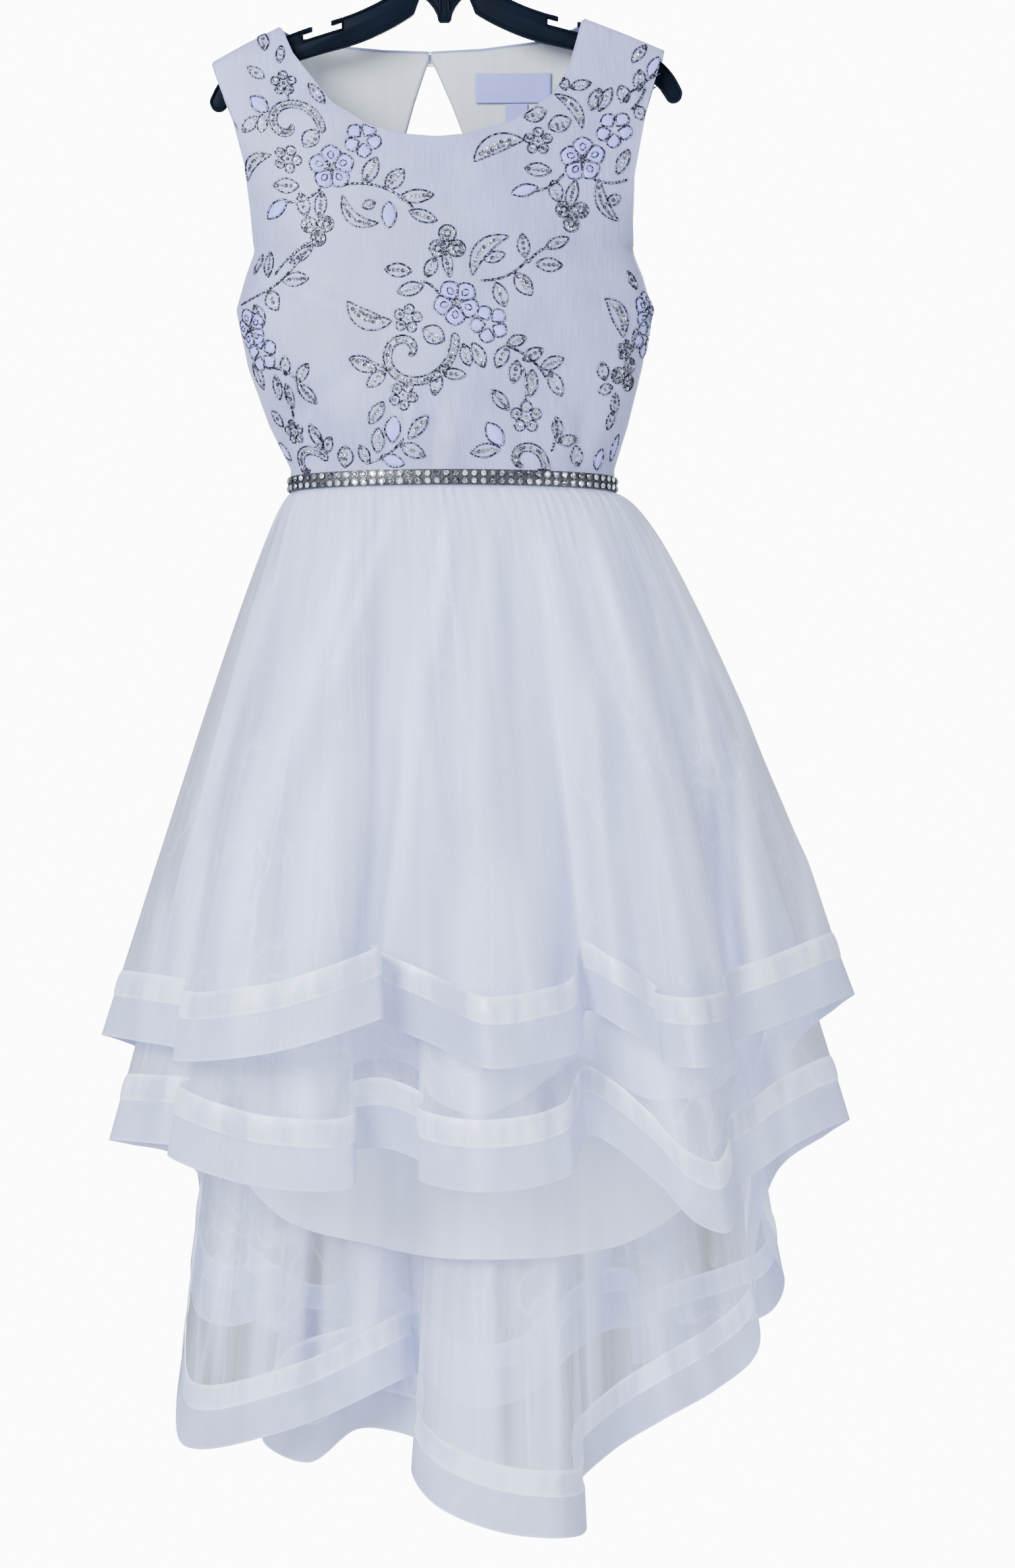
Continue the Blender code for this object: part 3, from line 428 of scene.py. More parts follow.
class BodiceSettings(bpy.types.PropertyGroup):
    """Sizes and colours of the bodice and what is sewn on it."""

    cloth_colour: colour_property("Cloth", "Colour of the bodice", (0.285, 0.305, 0.55))
    lining_colour: colour_property("Lining", "Colour of the back lining", (0.50, 0.54, 0.59))
    label_colour: colour_property("Label", "Colour of the bare label", (0.29, 0.32, 0.82))
    thickness: length_property("Thickness", "Thickness of the bodice cloth", 0.0009)
    binding: length_property("Binding", "Radius of the bound edges", 0.0008)
    cord_width: length_property("Cord width", "Width of the silver cord", 0.0014)
    cord_colour: colour_property("Cord", "Colour of the silver cord", (0.16, 0.17, 0.24))
    petal_colour: colour_property("Petals", "Colour of the filled petals", (0.27, 0.29, 0.80))
    sequin_radius: length_property("Sequin radius", "Radius of a sequin", 0.0015)
    sequin_colour: colour_property("Sequins", "Colour of the sequins", (0.48, 0.49, 0.52))


class TrimSettings(bpy.types.PropertyGroup):
    """Sizes and colours of the belt, the button and the hanger."""

    stone_radius: length_property("Stone radius", "Radius of a belt stone", 0.0027)
    stone_colour: colour_property("Stones", "Colour of the belt stones", (0.86, 0.88, 0.92))
    cup_colour: colour_property("Cups", "Colour of the stone cups", (0.07, 0.072, 0.09))
    tape_colour: colour_property("Tape", "Colour of the tape under the stones", (0.018, 0.02, 0.03))
    button_colour: colour_property("Button", "Colour of the button", (0.80, 0.81, 0.88))
    hanger_colour: colour_property("Hanger", "Colour of the moulded hanger", (0.002, 0.004, 0.009))
    hanger_rim: length_property("Hanger rim", "Width of the raised rim", 0.0022)
    hanger_recess: length_property("Hanger recess", "Depth inside the rim", 0.0014)
    wire_colour: colour_property("Hook", "Colour of the wire hook", (0.60, 0.61, 0.63))


class StageSettings(bpy.types.PropertyGroup):
    """Light and floor."""

    floor_colour: colour_property("Floor", "Colour of the floor", (0.86, 0.86, 0.87))
    floor_drop: length_property("Floor drop", "How far the floor lies under the rod", 1.90)
    sky: FloatProperty(name="Sky", description="Strength of the light from all round",
                       default=0.85, min=0.0)
    backdrop: FloatProperty(name="Backdrop", description="Brightness seen behind the dress",
                            default=12.0, min=0.0)
    behind: FloatProperty(name="Behind net", description="Brightness of the backdrop seen through net",
                          default=0.43, min=0.0)
    key: FloatProperty(name="Key", description="Power of the main light",
                       default=200.0, min=0.0, unit="POWER")


def unit(vectors):
    """The vectors at length 1."""
    return vectors / np.maximum(np.linalg.norm(vectors, axis=-1, keepdims=True), 1e-12)


def distances(path):
    """Distance of each point along an open path, from 0 at its start."""
    return np.concatenate([[0], np.cumsum(np.linalg.norm(np.diff(path, axis=0), axis=1))])


def grid_faces(rows, columns, around=False, over=False, flip=False):
    """The four-sided cells of a grid, joined last column to first if it goes around, and last row to
    first if it goes over."""
    number = np.arange(rows * columns).reshape(rows, columns)
    if around:
        number = np.hstack([number, number[:, :1]])
    if over:
        number = np.vstack([number, number[:1]])
    corners = number[:-1, :-1], number[1:, :-1], number[1:, 1:], number[:-1, 1:]
    quads = np.stack(corners, axis=-1).reshape(-1, 4)
    return quads[:, ::-1] if flip else quads


def turned_over(quads):
    """The same cells seen from their other side, with the same diagonals."""
    return quads[:, [0, 3, 2, 1]]


def linked(name, data):
    """A new object in the scene."""
    item = bpy.data.objects.new(name, data)
    bpy.context.scene.collection.objects.link(item)
    return item


def new_piece(name, points, faces, materials, uv=None, face_slots=None, sharp=None, values=None):
    """A mesh from points in millimetres and one or more arrays of faces.

    uv gives each point a place on the cloth in metres; values are named numbers on the points.
    """
    faces = faces if isinstance(faces, list) else [faces]
    corners = np.concatenate([f.ravel() for f in faces]).astype(np.int32)
    counts = np.concatenate([np.full(len(f), f.shape[1]) for f in faces])
    mesh = bpy.data.meshes.new(name)
    mesh.vertices.add(len(points))
    mesh.vertices.foreach_set("co", (np.asarray(points, float) * MM).ravel())
    mesh.loops.add(len(corners))
    mesh.loops.foreach_set("vertex_index", corners)
    mesh.polygons.add(len(counts))
    mesh.polygons.foreach_set("loop_start", (np.cumsum(counts) - counts).astype(np.int32))
    if face_slots is not None:
        mesh.polygons.foreach_set("material_index", np.asarray(face_slots, np.int32))
    if uv is not None:
        mesh.uv_layers.new(name=CLOTH_UV).data.foreach_set("uv", uv[corners].ravel())
    for key, numbers in (values or {}).items():
        mesh.attributes.new(key, "FLOAT", "POINT").data.foreach_set("value", numbers)
    for material in materials:
        mesh.materials.append(material)
    mesh.update(calc_edges=True)
    mesh.validate()
    mesh.shade_smooth()
    if sharp is not None:
        mesh.set_sharp_from_angle(angle=math.radians(sharp))
    return linked(name, mesh)


def seat(piece, slot, *nodes):
    """The piece rides on the one body and stands for its nodes, which are hidden; the slot is not used."""
    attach(piece, "root")
    if nodes:
        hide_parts(*nodes)


def area_of(piece):
    """Surface area of a piece's own mesh in square metres."""
    sizes = np.zeros(len(piece.data.polygons))
    piece.data.polygons.foreach_get("area", sizes)
    return float(sizes.sum())


def solidify(piece, thickness):
    """Gives a sheet its thickness, inwards from its outer face."""
    wall = piece.modifiers.new("thickness", "SOLIDIFY")
    wall.thickness = thickness
    wall.offset = -1.0
    wall.use_rim = True


class Finish:
    """A Principled material whose detail is added node by node."""

    def __init__(self, name, roughness, metallic=0.0):
        self.material = bpy.data.materials.new(name)
        self.material.use_nodes = True
        self.tree = self.material.node_tree
        self.shader = self.tree.nodes["Principled BSDF"]
        self.put("Roughness", roughness)
        self.put("Metallic", metallic)

    def put(self, socket, value):
        """Sets a socket of the shader, or links it."""
        target = self.shader.inputs[socket]
        if isinstance(value, bpy.types.NodeSocket):
            self.tree.links.new(value, target)
        else:
            target.default_value = (*value, 1.0) if hasattr(value, "__len__") and len(value) == 3 else value

    def add(self, kind, inputs=None, output=0, **settings):
        """A new node with its settings and inputs, numbers or links; returns one output."""
        node = self.tree.nodes.new("ShaderNode" + kind)
        for key, value in settings.items():
            setattr(node, key, value)
        for key, value in (inputs or {}).items():
            if isinstance(value, bpy.types.NodeSocket):
                self.tree.links.new(value, node.inputs[key])
            else:
                node.inputs[key].default_value = value
        return node.outputs[output]

    def cloth_place(self, *pitch):
        """Place on the cloth, counted in repeats of the pitch in millimetres."""
        place = self.add("UVMap", uv_map=CLOTH_UV)
        return self.add("Mapping", {"Vector": place, "Scale": [1000 / p for p in pitch] + [1]})

    def object_place(self, *pitch):
        """Place in space, counted in repeats of the pitch in millimetres."""
        place = self.add("TexCoord", output="Object")
        return self.add("Mapping", {"Vector": place, "Scale": [1000 / p for p in pitch]})

    def number(self, name):
        """A named number of the mesh's points."""
        return self.add("Attribute", output="Fac", attribute_name=name)

    def noise(self, place, detail=2.0, roughness=0.5):
        """Cloudy noise from 0 to 1, one cloud for each unit of place."""
        return self.add("TexNoise", {"Vector": place, "Scale": 1.0, "Detail": detail, "Roughness": roughness})

    def bands(self, place, direction="X"):
        """Soft bands, one for each unit of place."""
        return self.add("TexWave", {"Vector": place, "Scale": BAND_SCALE},
                        output=1, wave_type="BANDS", bands_direction=direction)

    def crinkle(self, pitch, sharpness, patches):
        """Thin wandering lines, where a noise crosses its middle value, in patches that come and go."""
        wander = self.noise(self.cloth_place(*pitch), 1.0)
        line = self.calc("MULTIPLY", self.calc("ABSOLUTE", self.calc("SUBTRACT", wander, 0.5)), sharpness)
        patch = self.span(self.noise(self.cloth_place(*patches), 1.0), 0, 1, 0.46, 0.62)
        return self.calc("MULTIPLY", self.span(line, 1, 0), patch)

    def calc(self, operation, a, b=0.0):
        """One step of arithmetic."""
        return self.add("Math", {0: a, 1: b}, operation=operation)

    def plus(self, value, other, share=None):
        """The value plus another, or plus a share of it."""
        return self.calc("ADD", value, other if share is None else self.calc("MULTIPLY", other, share))

    def span(self, value, low, high, start=0.0, end=1.0):
        """The value moved from one range to another."""
        return self.add("MapRange", {"Value": value, "From Min": start, "From Max": end,
                                     "To Min": low, "To Max": high})

    def blend(self, share, first, second):
        """Two colours mixed by a share."""
        return self.add("Mix", {0: share, 6: (*first, 1.0), 7: (*second, 1.0)}, output=2, data_type="RGBA")

    def shade(self, share, colour, low, high):
        """The base colour goes from the colour times low to the colour times high."""
        self.put("Base Color", self.blend(share, scaled(colour, low), scaled(colour, high)))

    def bump(self, height, distance_mm, strength=1.0):
        """Relief of some depth in millimetres."""
        self.put("Normal", self.add("Bump", {"Height": height, "Distance": distance_mm * MM,
                                             "Strength": strength}))


def scaled(colour, factor):
    """The colour made lighter or darker."""
    return tuple(min(1.0, c * factor) for c in colour)


def grained(name, roughness, colour, low, high, pitch, detail=2.0, metallic=0.0, bump=0.0):
    """A finish with one fine grain in space that changes its shade and, if asked, its relief."""
    finish = Finish(name, roughness, metallic)
    grain = finish.noise(finish.object_place(*pitch), detail)
    finish.shade(grain, colour, low, high)
    if bump:
        finish.bump(grain, bump)
    return finish, grain


def net_finish(name, colour, cover):
    """Sheer net: a fine mesh whose cover changes in long streaks where the threads close up, with painted
    light along the same streaks; thin wandering lines and the ridges of its folds get thicker cover and a
    painted highlight, the troughs of its folds thinner cover and painted shade.
    """
    finish = Finish(name, 0.6)
    streak = finish.noise(finish.cloth_place(30, 520), 3.0, 0.55)
    fine = finish.noise(finish.cloth_place(5, 240), 2.0)
    mesh = finish.calc("MULTIPLY", finish.bands(finish.cloth_place(1.3, 1.3), "DIAGONAL"),
                       finish.bands(finish.cloth_place(-1.3, 1.3), "DIAGONAL"))
    # close: the lift of the gathers and folds, and the drawn-in column; it thickens the cover and gives a
    # painted highlight on ridges and painted shade in troughs
    close = finish.number("close")
    # thin wandering lines: thicker cover and a painted highlight along the edges of fine folds
    line = finish.plus(finish.crinkle((60, 620), 70, (80, 150)), finish.crinkle((34, 46), 34, (120, 90)))
    alpha = finish.plus(finish.span(streak, cover - 0.10, cover + 0.14, 0.3, 0.7),
                        finish.span(fine, -0.04, 0.06, 0.3, 0.7))
    alpha = finish.plus(finish.plus(alpha, close, 0.34), line, 0.16)
    finish.put("Alpha", finish.plus(alpha, finish.span(mesh, -0.04, 0.08)))
    # painted light: the colour is lighter along the streaks, the thin lines and the fold ridges, and darker
    # in the fold troughs
    tone = finish.plus(finish.span(streak, 0, 0.6, 0.3, 0.7), close, 0.6)
    finish.shade(finish.plus(tone, line, 0.5), colour, 0.88, 1)
    finish.put("Sheen Weight", 0.2)
    finish.put("Sheen Roughness", 0.4)
    finish.bump(finish.plus(fine, mesh, 0.2), 0.14)
    return finish.material


def strip_finish(name, colour):
    """Satin strip: a painted highlight along its seam, where it is brightest, and a fainter one along its
    lower edge, painted sheen in long patches, painted shade in the hollows of its soft puckers and in the
    troughs of its folds, and fine cross ribs.
    """
    finish = Finish(name, 0.34)
    pucker_relief_and_shade = finish.noise(finish.cloth_place(9, 40), 2.0)
    rib = finish.bands(finish.cloth_place(0.8, 400))
    down = finish.number("down")
    painted_sheen_and_gloss = finish.noise(finish.cloth_place(34, 300), 2.0, 0.6)
    # painted highlight: a bright line along the seam at the top and a fainter one along the strip's lower
    # edge
    edges = finish.plus(finish.span(down, 0.55, 0.0, 0.0, 0.09), finish.span(down, 0.0, 0.4, 0.33, 0.40))
    # painted shade: lighter on the raised parts of the puckers, darker in their hollows
    tone = finish.plus(edges, finish.span(pucker_relief_and_shade, -0.1, 0.35, 0.35, 0.65))
    # painted sheen: lighter in long patches, where the roughness is also lower
    tone = finish.plus(tone, finish.span(painted_sheen_and_gloss, -0.1, 0.6, 0.35, 0.65))
    # painted highlight on the ridges of the folds and painted shade in their troughs, from close
    finish.shade(finish.plus(tone, finish.number("close"), 0.4), colour, 0.72, 1.2)
    finish.put("Roughness", finish.span(painted_sheen_and_gloss, 0.5, 0.22, 0.35, 0.65))
    finish.put("Sheen Weight", 0.3)
    finish.bump(finish.plus(pucker_relief_and_shade, rib, 0.05), 0.8, 0.7)
    return finish.material


def braid_finish(name, colour, cover):
    """Horsehair braid: stiff threads crossing on the bias between fine upright ribs, part open, with
    a close edge; the ridges of its folds carry a painted highlight and the troughs painted shade."""
    finish = Finish(name, 0.3)
    left = finish.bands(finish.cloth_place(1.5, 1.1), "DIAGONAL")
    right = finish.bands(finish.cloth_place(-1.5, 1.1), "DIAGONAL")
    thread = finish.calc("MAXIMUM", left, right)
    rib = finish.bands(finish.cloth_place(2.1, 900))
    cloud = finish.noise(finish.cloth_place(24, 60), 2.0)
    edge = finish.span(finish.number("down"), 0.0, 0.2, 0.955, 0.975)
    alpha = finish.plus(finish.span(thread, cover - 0.16, cover + 0.10),
                        finish.span(cloud, -0.08, 0.08, 0.3, 0.7))
    finish.put("Alpha", finish.plus(finish.plus(alpha, edge), finish.span(rib, -0.03, 0.05)))
    tone = finish.plus(finish.calc("MULTIPLY", thread, 0.35), cloud, 0.5)
    # painted highlight on the ridges of the folds and painted shade in their troughs, from close
    finish.shade(finish.plus(tone, finish.number("close"), 0.5), colour, 0.8, 1.1)
    finish.bump(finish.plus(thread, rib), 0.2, 0.5)
    return finish.material


def lining_finish(name, colour):
    """Plain lining: a close weave with faint long creases in its relief, painted lighter where the creases
    stand up and darker in their hollows, and broad upright streaks of painted light and shade.
    """
    finish = Finish(name, 0.5)
    crease = finish.noise(finish.cloth_place(18, 130), 3.0, 0.6)
    weave = finish.calc("MULTIPLY", finish.bands(finish.cloth_place(0.7, 0.7), "X"),
                        finish.bands(finish.cloth_place(0.7, 0.7), "Y"))
    broad = finish.noise(finish.cloth_place(46, 420), 2.0)
    # painted light and shade: lighter on the raised parts of the creases and in broad upright streaks, darker
    # between
    tone = finish.plus(finish.span(crease, 0, 0.5, 0.3, 0.7), finish.span(broad, 0, 0.5, 0.35, 0.65))
    finish.shade(tone, colour, 0.84, 1.05)
    finish.put("Sheen Weight", 0.2)
    finish.bump(finish.plus(crease, weave, 0.06), 1.4, 0.5)
    return finish.material


def bodice_finish(name, colour):
    """Bodice cloth: fine upright slubs that catch the light, over a close weave."""
    finish = Finish(name, 0.42)
    slub = finish.noise(finish.cloth_place(0.9, 26), 3.0, 0.65)
    cloud = finish.noise(finish.cloth_place(40, 60), 2.0)
    tone = finish.plus(finish.calc("MULTIPLY", slub, 0.6), cloud, 0.4)
    finish.shade(finish.span(tone, 0, 1, 0.4, 0.6), colour, 0.8, 1.1)
    finish.put("Sheen Weight", 0.3)
    finish.put("Roughness", finish.span(slub, 0.34, 0.55, 0.35, 0.65))
    finish.bump(slub, 0.35, 0.8)
    return finish.material


def closed_curve(points, samples):
    """A smooth closed curve through the points, with centripetal Catmull-Rom tangents."""
    ring = np.vstack([points[-1], points, points[:2]])
    step = np.linalg.norm(np.diff(ring, axis=0), axis=1) ** 0.5
    p0, p1, p2, p3 = ring[:-3], ring[1:-2], ring[2:-1], ring[3:]
    a, b, c = (step[k:len(step) - 2 + k, None] for k in range(3))
    start = ((p1 - p0) / a - (p2 - p0) / (a + b) + (p2 - p1) / b) * b
    end = ((p2 - p1) / b - (p3 - p1) / (b + c) + (p3 - p2) / c) * b
    t = (np.arange(samples) / samples)[None, :, None]
    p1, p2, start, end = p1[:, None], p2[:, None], start[:, None], end[:, None]
    curve = ((2 * t**3 - 3 * t**2 + 1) * p1 + (t**3 - 2 * t**2 + t) * start
             + (3 * t**2 - 2 * t**3) * p2 + (t**3 - t**2) * end)
    return curve.reshape(-1, 3)


def hem_points(rows):
    """The start, middle and end of every stretch of hem, in order."""
    table = np.array([row[1:] for row in rows], float)
    return table.reshape(-1, 3, 3).transpose(0, 2, 1).reshape(-1, 3)


def run_lengths(curve):
    """Length of each segment of a closed curve, and the distance of each point along it."""
    segment = np.linalg.norm(np.roll(curve, -1, axis=0) - curve, axis=1)
    return segment, np.cumsum(segment) - segment


def averaged(curve, width):
    """The closed curve with its folds averaged away: each point becomes the mean of all of them,
    weighted by a bell curve of their distance along the hem."""
    segment, along = run_lengths(curve)
    total = segment.sum()
    gap = (along[:, None] - along[None, :] + total / 2) % total - total / 2
    weight = np.exp(-0.5 * (gap / width) ** 2) * (segment + np.roll(segment, 1))[None, :]
    return weight @ curve / weight.sum(axis=1, keepdims=True)


def faded(along, over):
    """1 on a line and 0 past its ends, with a smooth step over a share of its length at each end."""
    fade = np.clip(np.minimum(along + FOLD_END, 1 + FOLD_END - along) / over, 0, 1)
    return fade**2 * (3 - 2 * fade)


def ring_normals(rings):
    """Outward directions of a stack of closed rings."""
    around = np.roll(rings, -1, axis=1) - np.roll(rings, 1, axis=1)
    return unit(np.cross(np.gradient(rings, axis=0), around))


class SkirtLayer:
    """One layer of the skirt, as a surface of column and share of the drop.

    The plan goes from the waist's oval to the hem's averaged outline with a power of the share,
    the hem's own folds are added with higher powers, and the height falls evenly to the hem.
    """

    def __init__(self, front, back, depth, seed):
        self.hem = closed_curve(np.vstack([hem_points(front), hem_points(back)]), SAMPLES)
        self.side = (3 * len(front) - 1) * SAMPLES
        segment, along = run_lengths(self.hem)
        self.along = along
        self.length = segment.sum()
        front_turn = -90 + 180 * along / along[self.side]
        back_turn = 90 + 180 * (along - along[self.side]) / (self.length - along[self.side])
        self.turn = np.radians(np.where(along <= along[self.side], front_turn, back_turn))
        self.waist = np.stack([
            WAIST_CENTRE_X + (WAIST_HALF_WIDTH - depth) * np.sin(self.turn),
            -(WAIST_HALF_DEPTH - depth) * np.cos(self.turn),
        ], axis=1)
        self.hull = averaged(self.hem, HULL_WIDTH)[:, :2]
        top = np.column_stack([self.waist, np.full(len(self.waist), FLARE_Z)])
        self.drop = np.linalg.norm(self.hem - top, axis=1)
        self.phase = 1.7 * seed

    def surface(self, level):
        """The layer without its gathers at shares of the drop, one row of shares for each ring."""
        share = level[..., None]
        power = (FLARE - FLARE_RIGHT * np.sin(self.turn))[None, :, None]
        plan = self.waist + share**power * (self.hull - self.waist)
        plan = plan + share ** np.array(FOLD_FADE) * (self.hem[:, :2] - self.hull)
        z = FLARE_Z + level * (self.hem[:, 2] - FLARE_Z)
        return np.concatenate([plan, z[..., None]], axis=2)

    def gathers(self, level, settings):
        """Two sines of the turn, uneven in depth, that die away exponentially down the skirt, and three
        slower ones for the long soft folds, which grow with the level."""
        turn = self.turn[None, :]
        wander = (self.phase + 3.1 * np.sin(3 * turn + 0.5) + 2.2 * np.sin(7 * turn + 2.1)
                  + 1.2 * np.sin(13 * turn))
        uneven = 0.55 + 0.45 * np.sin(9 * turn + wander) * np.sin(4 * turn + 0.4)
        reach = 0.07 + 0.06 * np.sin(11 * turn + wander) + 0.05 * np.sin(29 * turn)
        fine = np.sin(settings.gathers * turn + wander + 1.5 * level * np.sin(5 * turn))
        second = np.sin(1.618 * settings.gathers * turn - wander)
        broad = np.sin(19 * turn + wander) + 0.7 * np.sin(31 * turn - wander + 1.0) + 0.4 * np.sin(53 * turn)
        rise = 1 - np.exp(-level / 0.012)
        dying = np.exp(-level / np.maximum(reach, 0.03))
        fine_depth = settings.gather_depth / MM * dying * (0.4 + 0.6 * uneven)
        broad_depth = settings.fold_depth / MM * (0.3 + 0.7 * level) * uneven * np.minimum(1, level / 0.1)
        return rise * ((fine + 0.5 * second) * fine_depth + broad * broad_depth * 0.6)

    def creases(self, base, depth):
        """The tables' folds: each is a soft ridge or trough across a straight line in x and z, which
        fades at both its ends, deepest in its middle."""
        total = np.zeros(base.shape[:2])
        front = np.arange(base.shape[1]) <= self.side
        for table, columns in ((FRONT_FOLDS, front), (BACK_FOLDS, ~front)):
            x, z = base[:, columns, 0], base[:, columns, 2]
            lift = np.zeros(x.shape)
            for x0, z0, x1, z1, width, height in table:
                down = np.clip((z - z0) / (z1 - z0), -FOLD_END, 1 + FOLD_END)
                gap = x - (x0 + (x1 - x0) * down) - self.phase
                lift += height * np.exp(-((gap / width) ** 2)) * faded(down, 3 * FOLD_END)
            total[:, columns] = lift * depth
        return total

    def column(self, base):
        """Where the back of the net is drawn together in a column: 1 inside it, 0 outside."""
        x, z = base[..., 0], base[..., 2]
        behind = np.arange(base.shape[1])[None, :] > self.side
        inside = np.clip(np.minimum(x - COLUMN_X[0], COLUMN_X[1] - x) / COLUMN_EDGE, 0, 1)
        return inside * behind * np.clip((COLUMN_TOP[0] - z) / COLUMN_TOP[1], 0, 1)

    def parts(self, grid):
        """The grid cut at the two side seams: the front and the back."""
        return ("front", grid[:, :self.side + 1]), ("back", np.concatenate(
            [grid[:, self.side:], grid[:, :1]], axis=1))

    def cloth_place(self, level):
        """Place on the cloth in metres: along the hem, and down the drop."""
        across = np.broadcast_to(self.along[None, :], level.shape)
        return np.stack([across, level * self.drop[None, :]], axis=2) * MM


def declare_sheet(piece, width, length, fullness):
    """Works out how large the sheet was cut: its own area times the cloth taken up in fine gathers, at most
    its width times its length; the number is not kept.
    """
    area = min(area_of(piece) * fullness, width * length)


def skirt_piece(name, points, uv, materials, slot, node, fullness,
                face_slots=None, values=None):
    """One half of a skirt layer as an open sheet; the size it was cut to is worked out but not kept."""
    rows, columns = points.shape[:2]
    piece = new_piece(name, points.reshape(-1, 3), grid_faces(rows, columns), materials,
                      uv=uv.reshape(-1, 2), face_slots=face_slots, values=values)
    seat(piece, slot, node)
    hem = np.linalg.norm(np.diff(points[-1], axis=0), axis=1).sum() * MM
    deepest = np.linalg.norm(np.diff(points, axis=0), axis=2).sum(axis=0).max() * MM
    declare_sheet(piece, hem * SKIRT_CUT[0], deepest * SKIRT_CUT[1], fullness)


def strip_push(layer, down, strip, settings):
    """How far a hem band stands out: its satin strip swells by a rounded sine of the way down it, and
    puckers in small waves along a short stretch of the front."""
    swell = np.where(down < strip, np.sin(np.pi * np.clip(down / strip, 0, 1)) ** 0.6, 0)[:, None]
    ripple = 0.7 * np.sin(layer.along * 2 * np.pi / PUCKER_PITCH + 2 * np.sin(layer.along / 47))
    ripple = ripple * np.exp(-(((layer.hem[:, 0] - PUCKERS[0]) / PUCKERS[1]) ** 4))
    return settings.strip_swell / MM * swell + SEAM + swell * ripple


def net_layer(word, front, back, depth, seed, settings):
    """A gathered net layer with its hem band, in front and back halves."""
    layer = SkirtLayer(front, back, depth, seed)
    band = 1 - BAND_HEIGHT / layer.drop
    share = np.linspace(0, 1, NET_ROWS)[:, None] ** 1.5
    strip = settings.strip_height / MM / BAND_HEIGHT
    down = np.concatenate([np.linspace(0, strip, STRIP_ROWS), np.linspace(strip, 1, BRAID_ROWS + 1)[1:]])
    level = np.vstack([share * band, band + down[1:, None] * (1 - band)])
    base = layer.surface(level)
    away = ring_normals(base)
    gathers, folds = layer.gathers(level, settings), layer.creases(base, settings.crease_depth)
    calm = 1 - 0.45 * np.clip((level - band) / (1 - band), 0, 1)
    points = base + away * ((gathers + folds) * calm)[..., None]
    # close: the lift of the gathers and folds, and the drawn-in column; the finishes use it for thicker cover
    # and for a painted highlight on ridges and painted shade in troughs
    close = np.clip(0.15 * gathers + 0.7 * folds + (layer.column(base) if word == "inner" else 0), -1, 1)
    top = np.column_stack([layer.waist, np.full(len(layer.waist), WAIST_Z - SEAM)])
    place = layer.cloth_place(level)
    net_rows = np.concatenate([top[None], points[:NET_ROWS]])
    net_place = np.concatenate([place[:1] - ABOVE_FLARE, place[:NET_ROWS]])
    net_cover_and_painted_light = np.concatenate([close[:1], close[:NET_ROWS]])[..., None]
    net = net_finish(f"{word}_net", settings.net_colour, settings.net_cover)
    band_points = points[NET_ROWS - 1:].copy()
    band_points += away[NET_ROWS - 1:] * strip_push(layer, down, strip, settings)[..., None]
    materials = [strip_finish(f"{word}_strip", settings.strip_colour),
                 braid_finish(f"{word}_braid", settings.braid_colour, settings.braid_cover)]
    # the close values carry the cover and the painted highlight and shade of the folds to the net
    for (side, cloth), (_, uv), (_, folds) in zip(*map(layer.parts, (net_rows, net_place, net_cover_and_painted_light))):
        skirt_piece(f"{word}_net_{side}", cloth, uv, [net], "net", f"net_{word}_{side}",
                    NET_FULLNESS, values={"close": folds.ravel()})
    # and to the hem band's strip and braid, for the painted highlight and shade on its folds
    grids = band_points, place[NET_ROWS - 1:], close[NET_ROWS - 1:, :, None]
    for (side, cloth), (_, uv), (_, folds) in zip(*map(layer.parts, grids)):
        columns = cloth.shape[1] - 1
        slots = np.repeat((down[1:] > strip + 1e-9).astype(int), columns)
        values = {"down": np.repeat(down, columns + 1), "close": folds.ravel()}
        skirt_piece(f"{word}_band_{side}", cloth, uv, materials, "band", f"band_{word}_{side}",
                    1.0, slots, values)


def skirt_lining(settings):
    """The opaque lining under the nets, with a narrow hem."""
    layer = SkirtLayer(LINING_FRONT, LINING_BACK, 2 * LAYER_STEP, 7)
    level = np.broadcast_to((np.linspace(0, 1, LINING_ROWS) ** 1.4)[:, None], (LINING_ROWS, len(layer.turn)))
    base = layer.surface(level)
    away = ring_normals(base)
    lift = layer.gathers(level, settings) + layer.creases(base, 0.6 * settings.crease_depth)
    points = base + away * lift[..., None]
    top = np.column_stack([layer.waist, np.full(len(layer.waist), WAIST_Z - SEAM)])
    points = np.concatenate([top[None], points])
    place = layer.cloth_place(level)
    place = np.concatenate([place[:1] - ABOVE_FLARE, place])
    cloth = lining_finish("skirt_lining_cloth", settings.lining_colour)
    for (side, grid), (_, uv) in zip(*map(layer.parts, (points, place))):
        skirt_piece(f"lining_{side}", grid, uv, [cloth], "skirt_lining", f"skirt_lining_{side}",
                    LINING_FULLNESS)


def bodice_level(z):
    """Middle, half width, front depth and back depth of the bodice at each height."""
    table = np.array(BODICE_LEVELS, float)
    left, right, front, back = [np.interp(z, table[:, 0], table[:, k]) for k in range(1, 5)]
    return (left + right) / 2, (right - left) / 2, front, back


def bodice_turn(x, z):
    """The turn about the body of a point at x and z, the arcsine of its share of the half width:
    -90 degrees at the left side seam."""
    middle, half = bodice_level(z)[:2]
    return np.arcsin(np.clip((x - middle) / half, -1, 1))


def shoulder_height(x):
    """Height of the shoulder line over each x, straight across the neck."""
    line = np.array(SHOULDER_LEFT + SHOULDER_RIGHT[::-1], float)
    return np.interp(x, line[:, 0], line[:, 1])


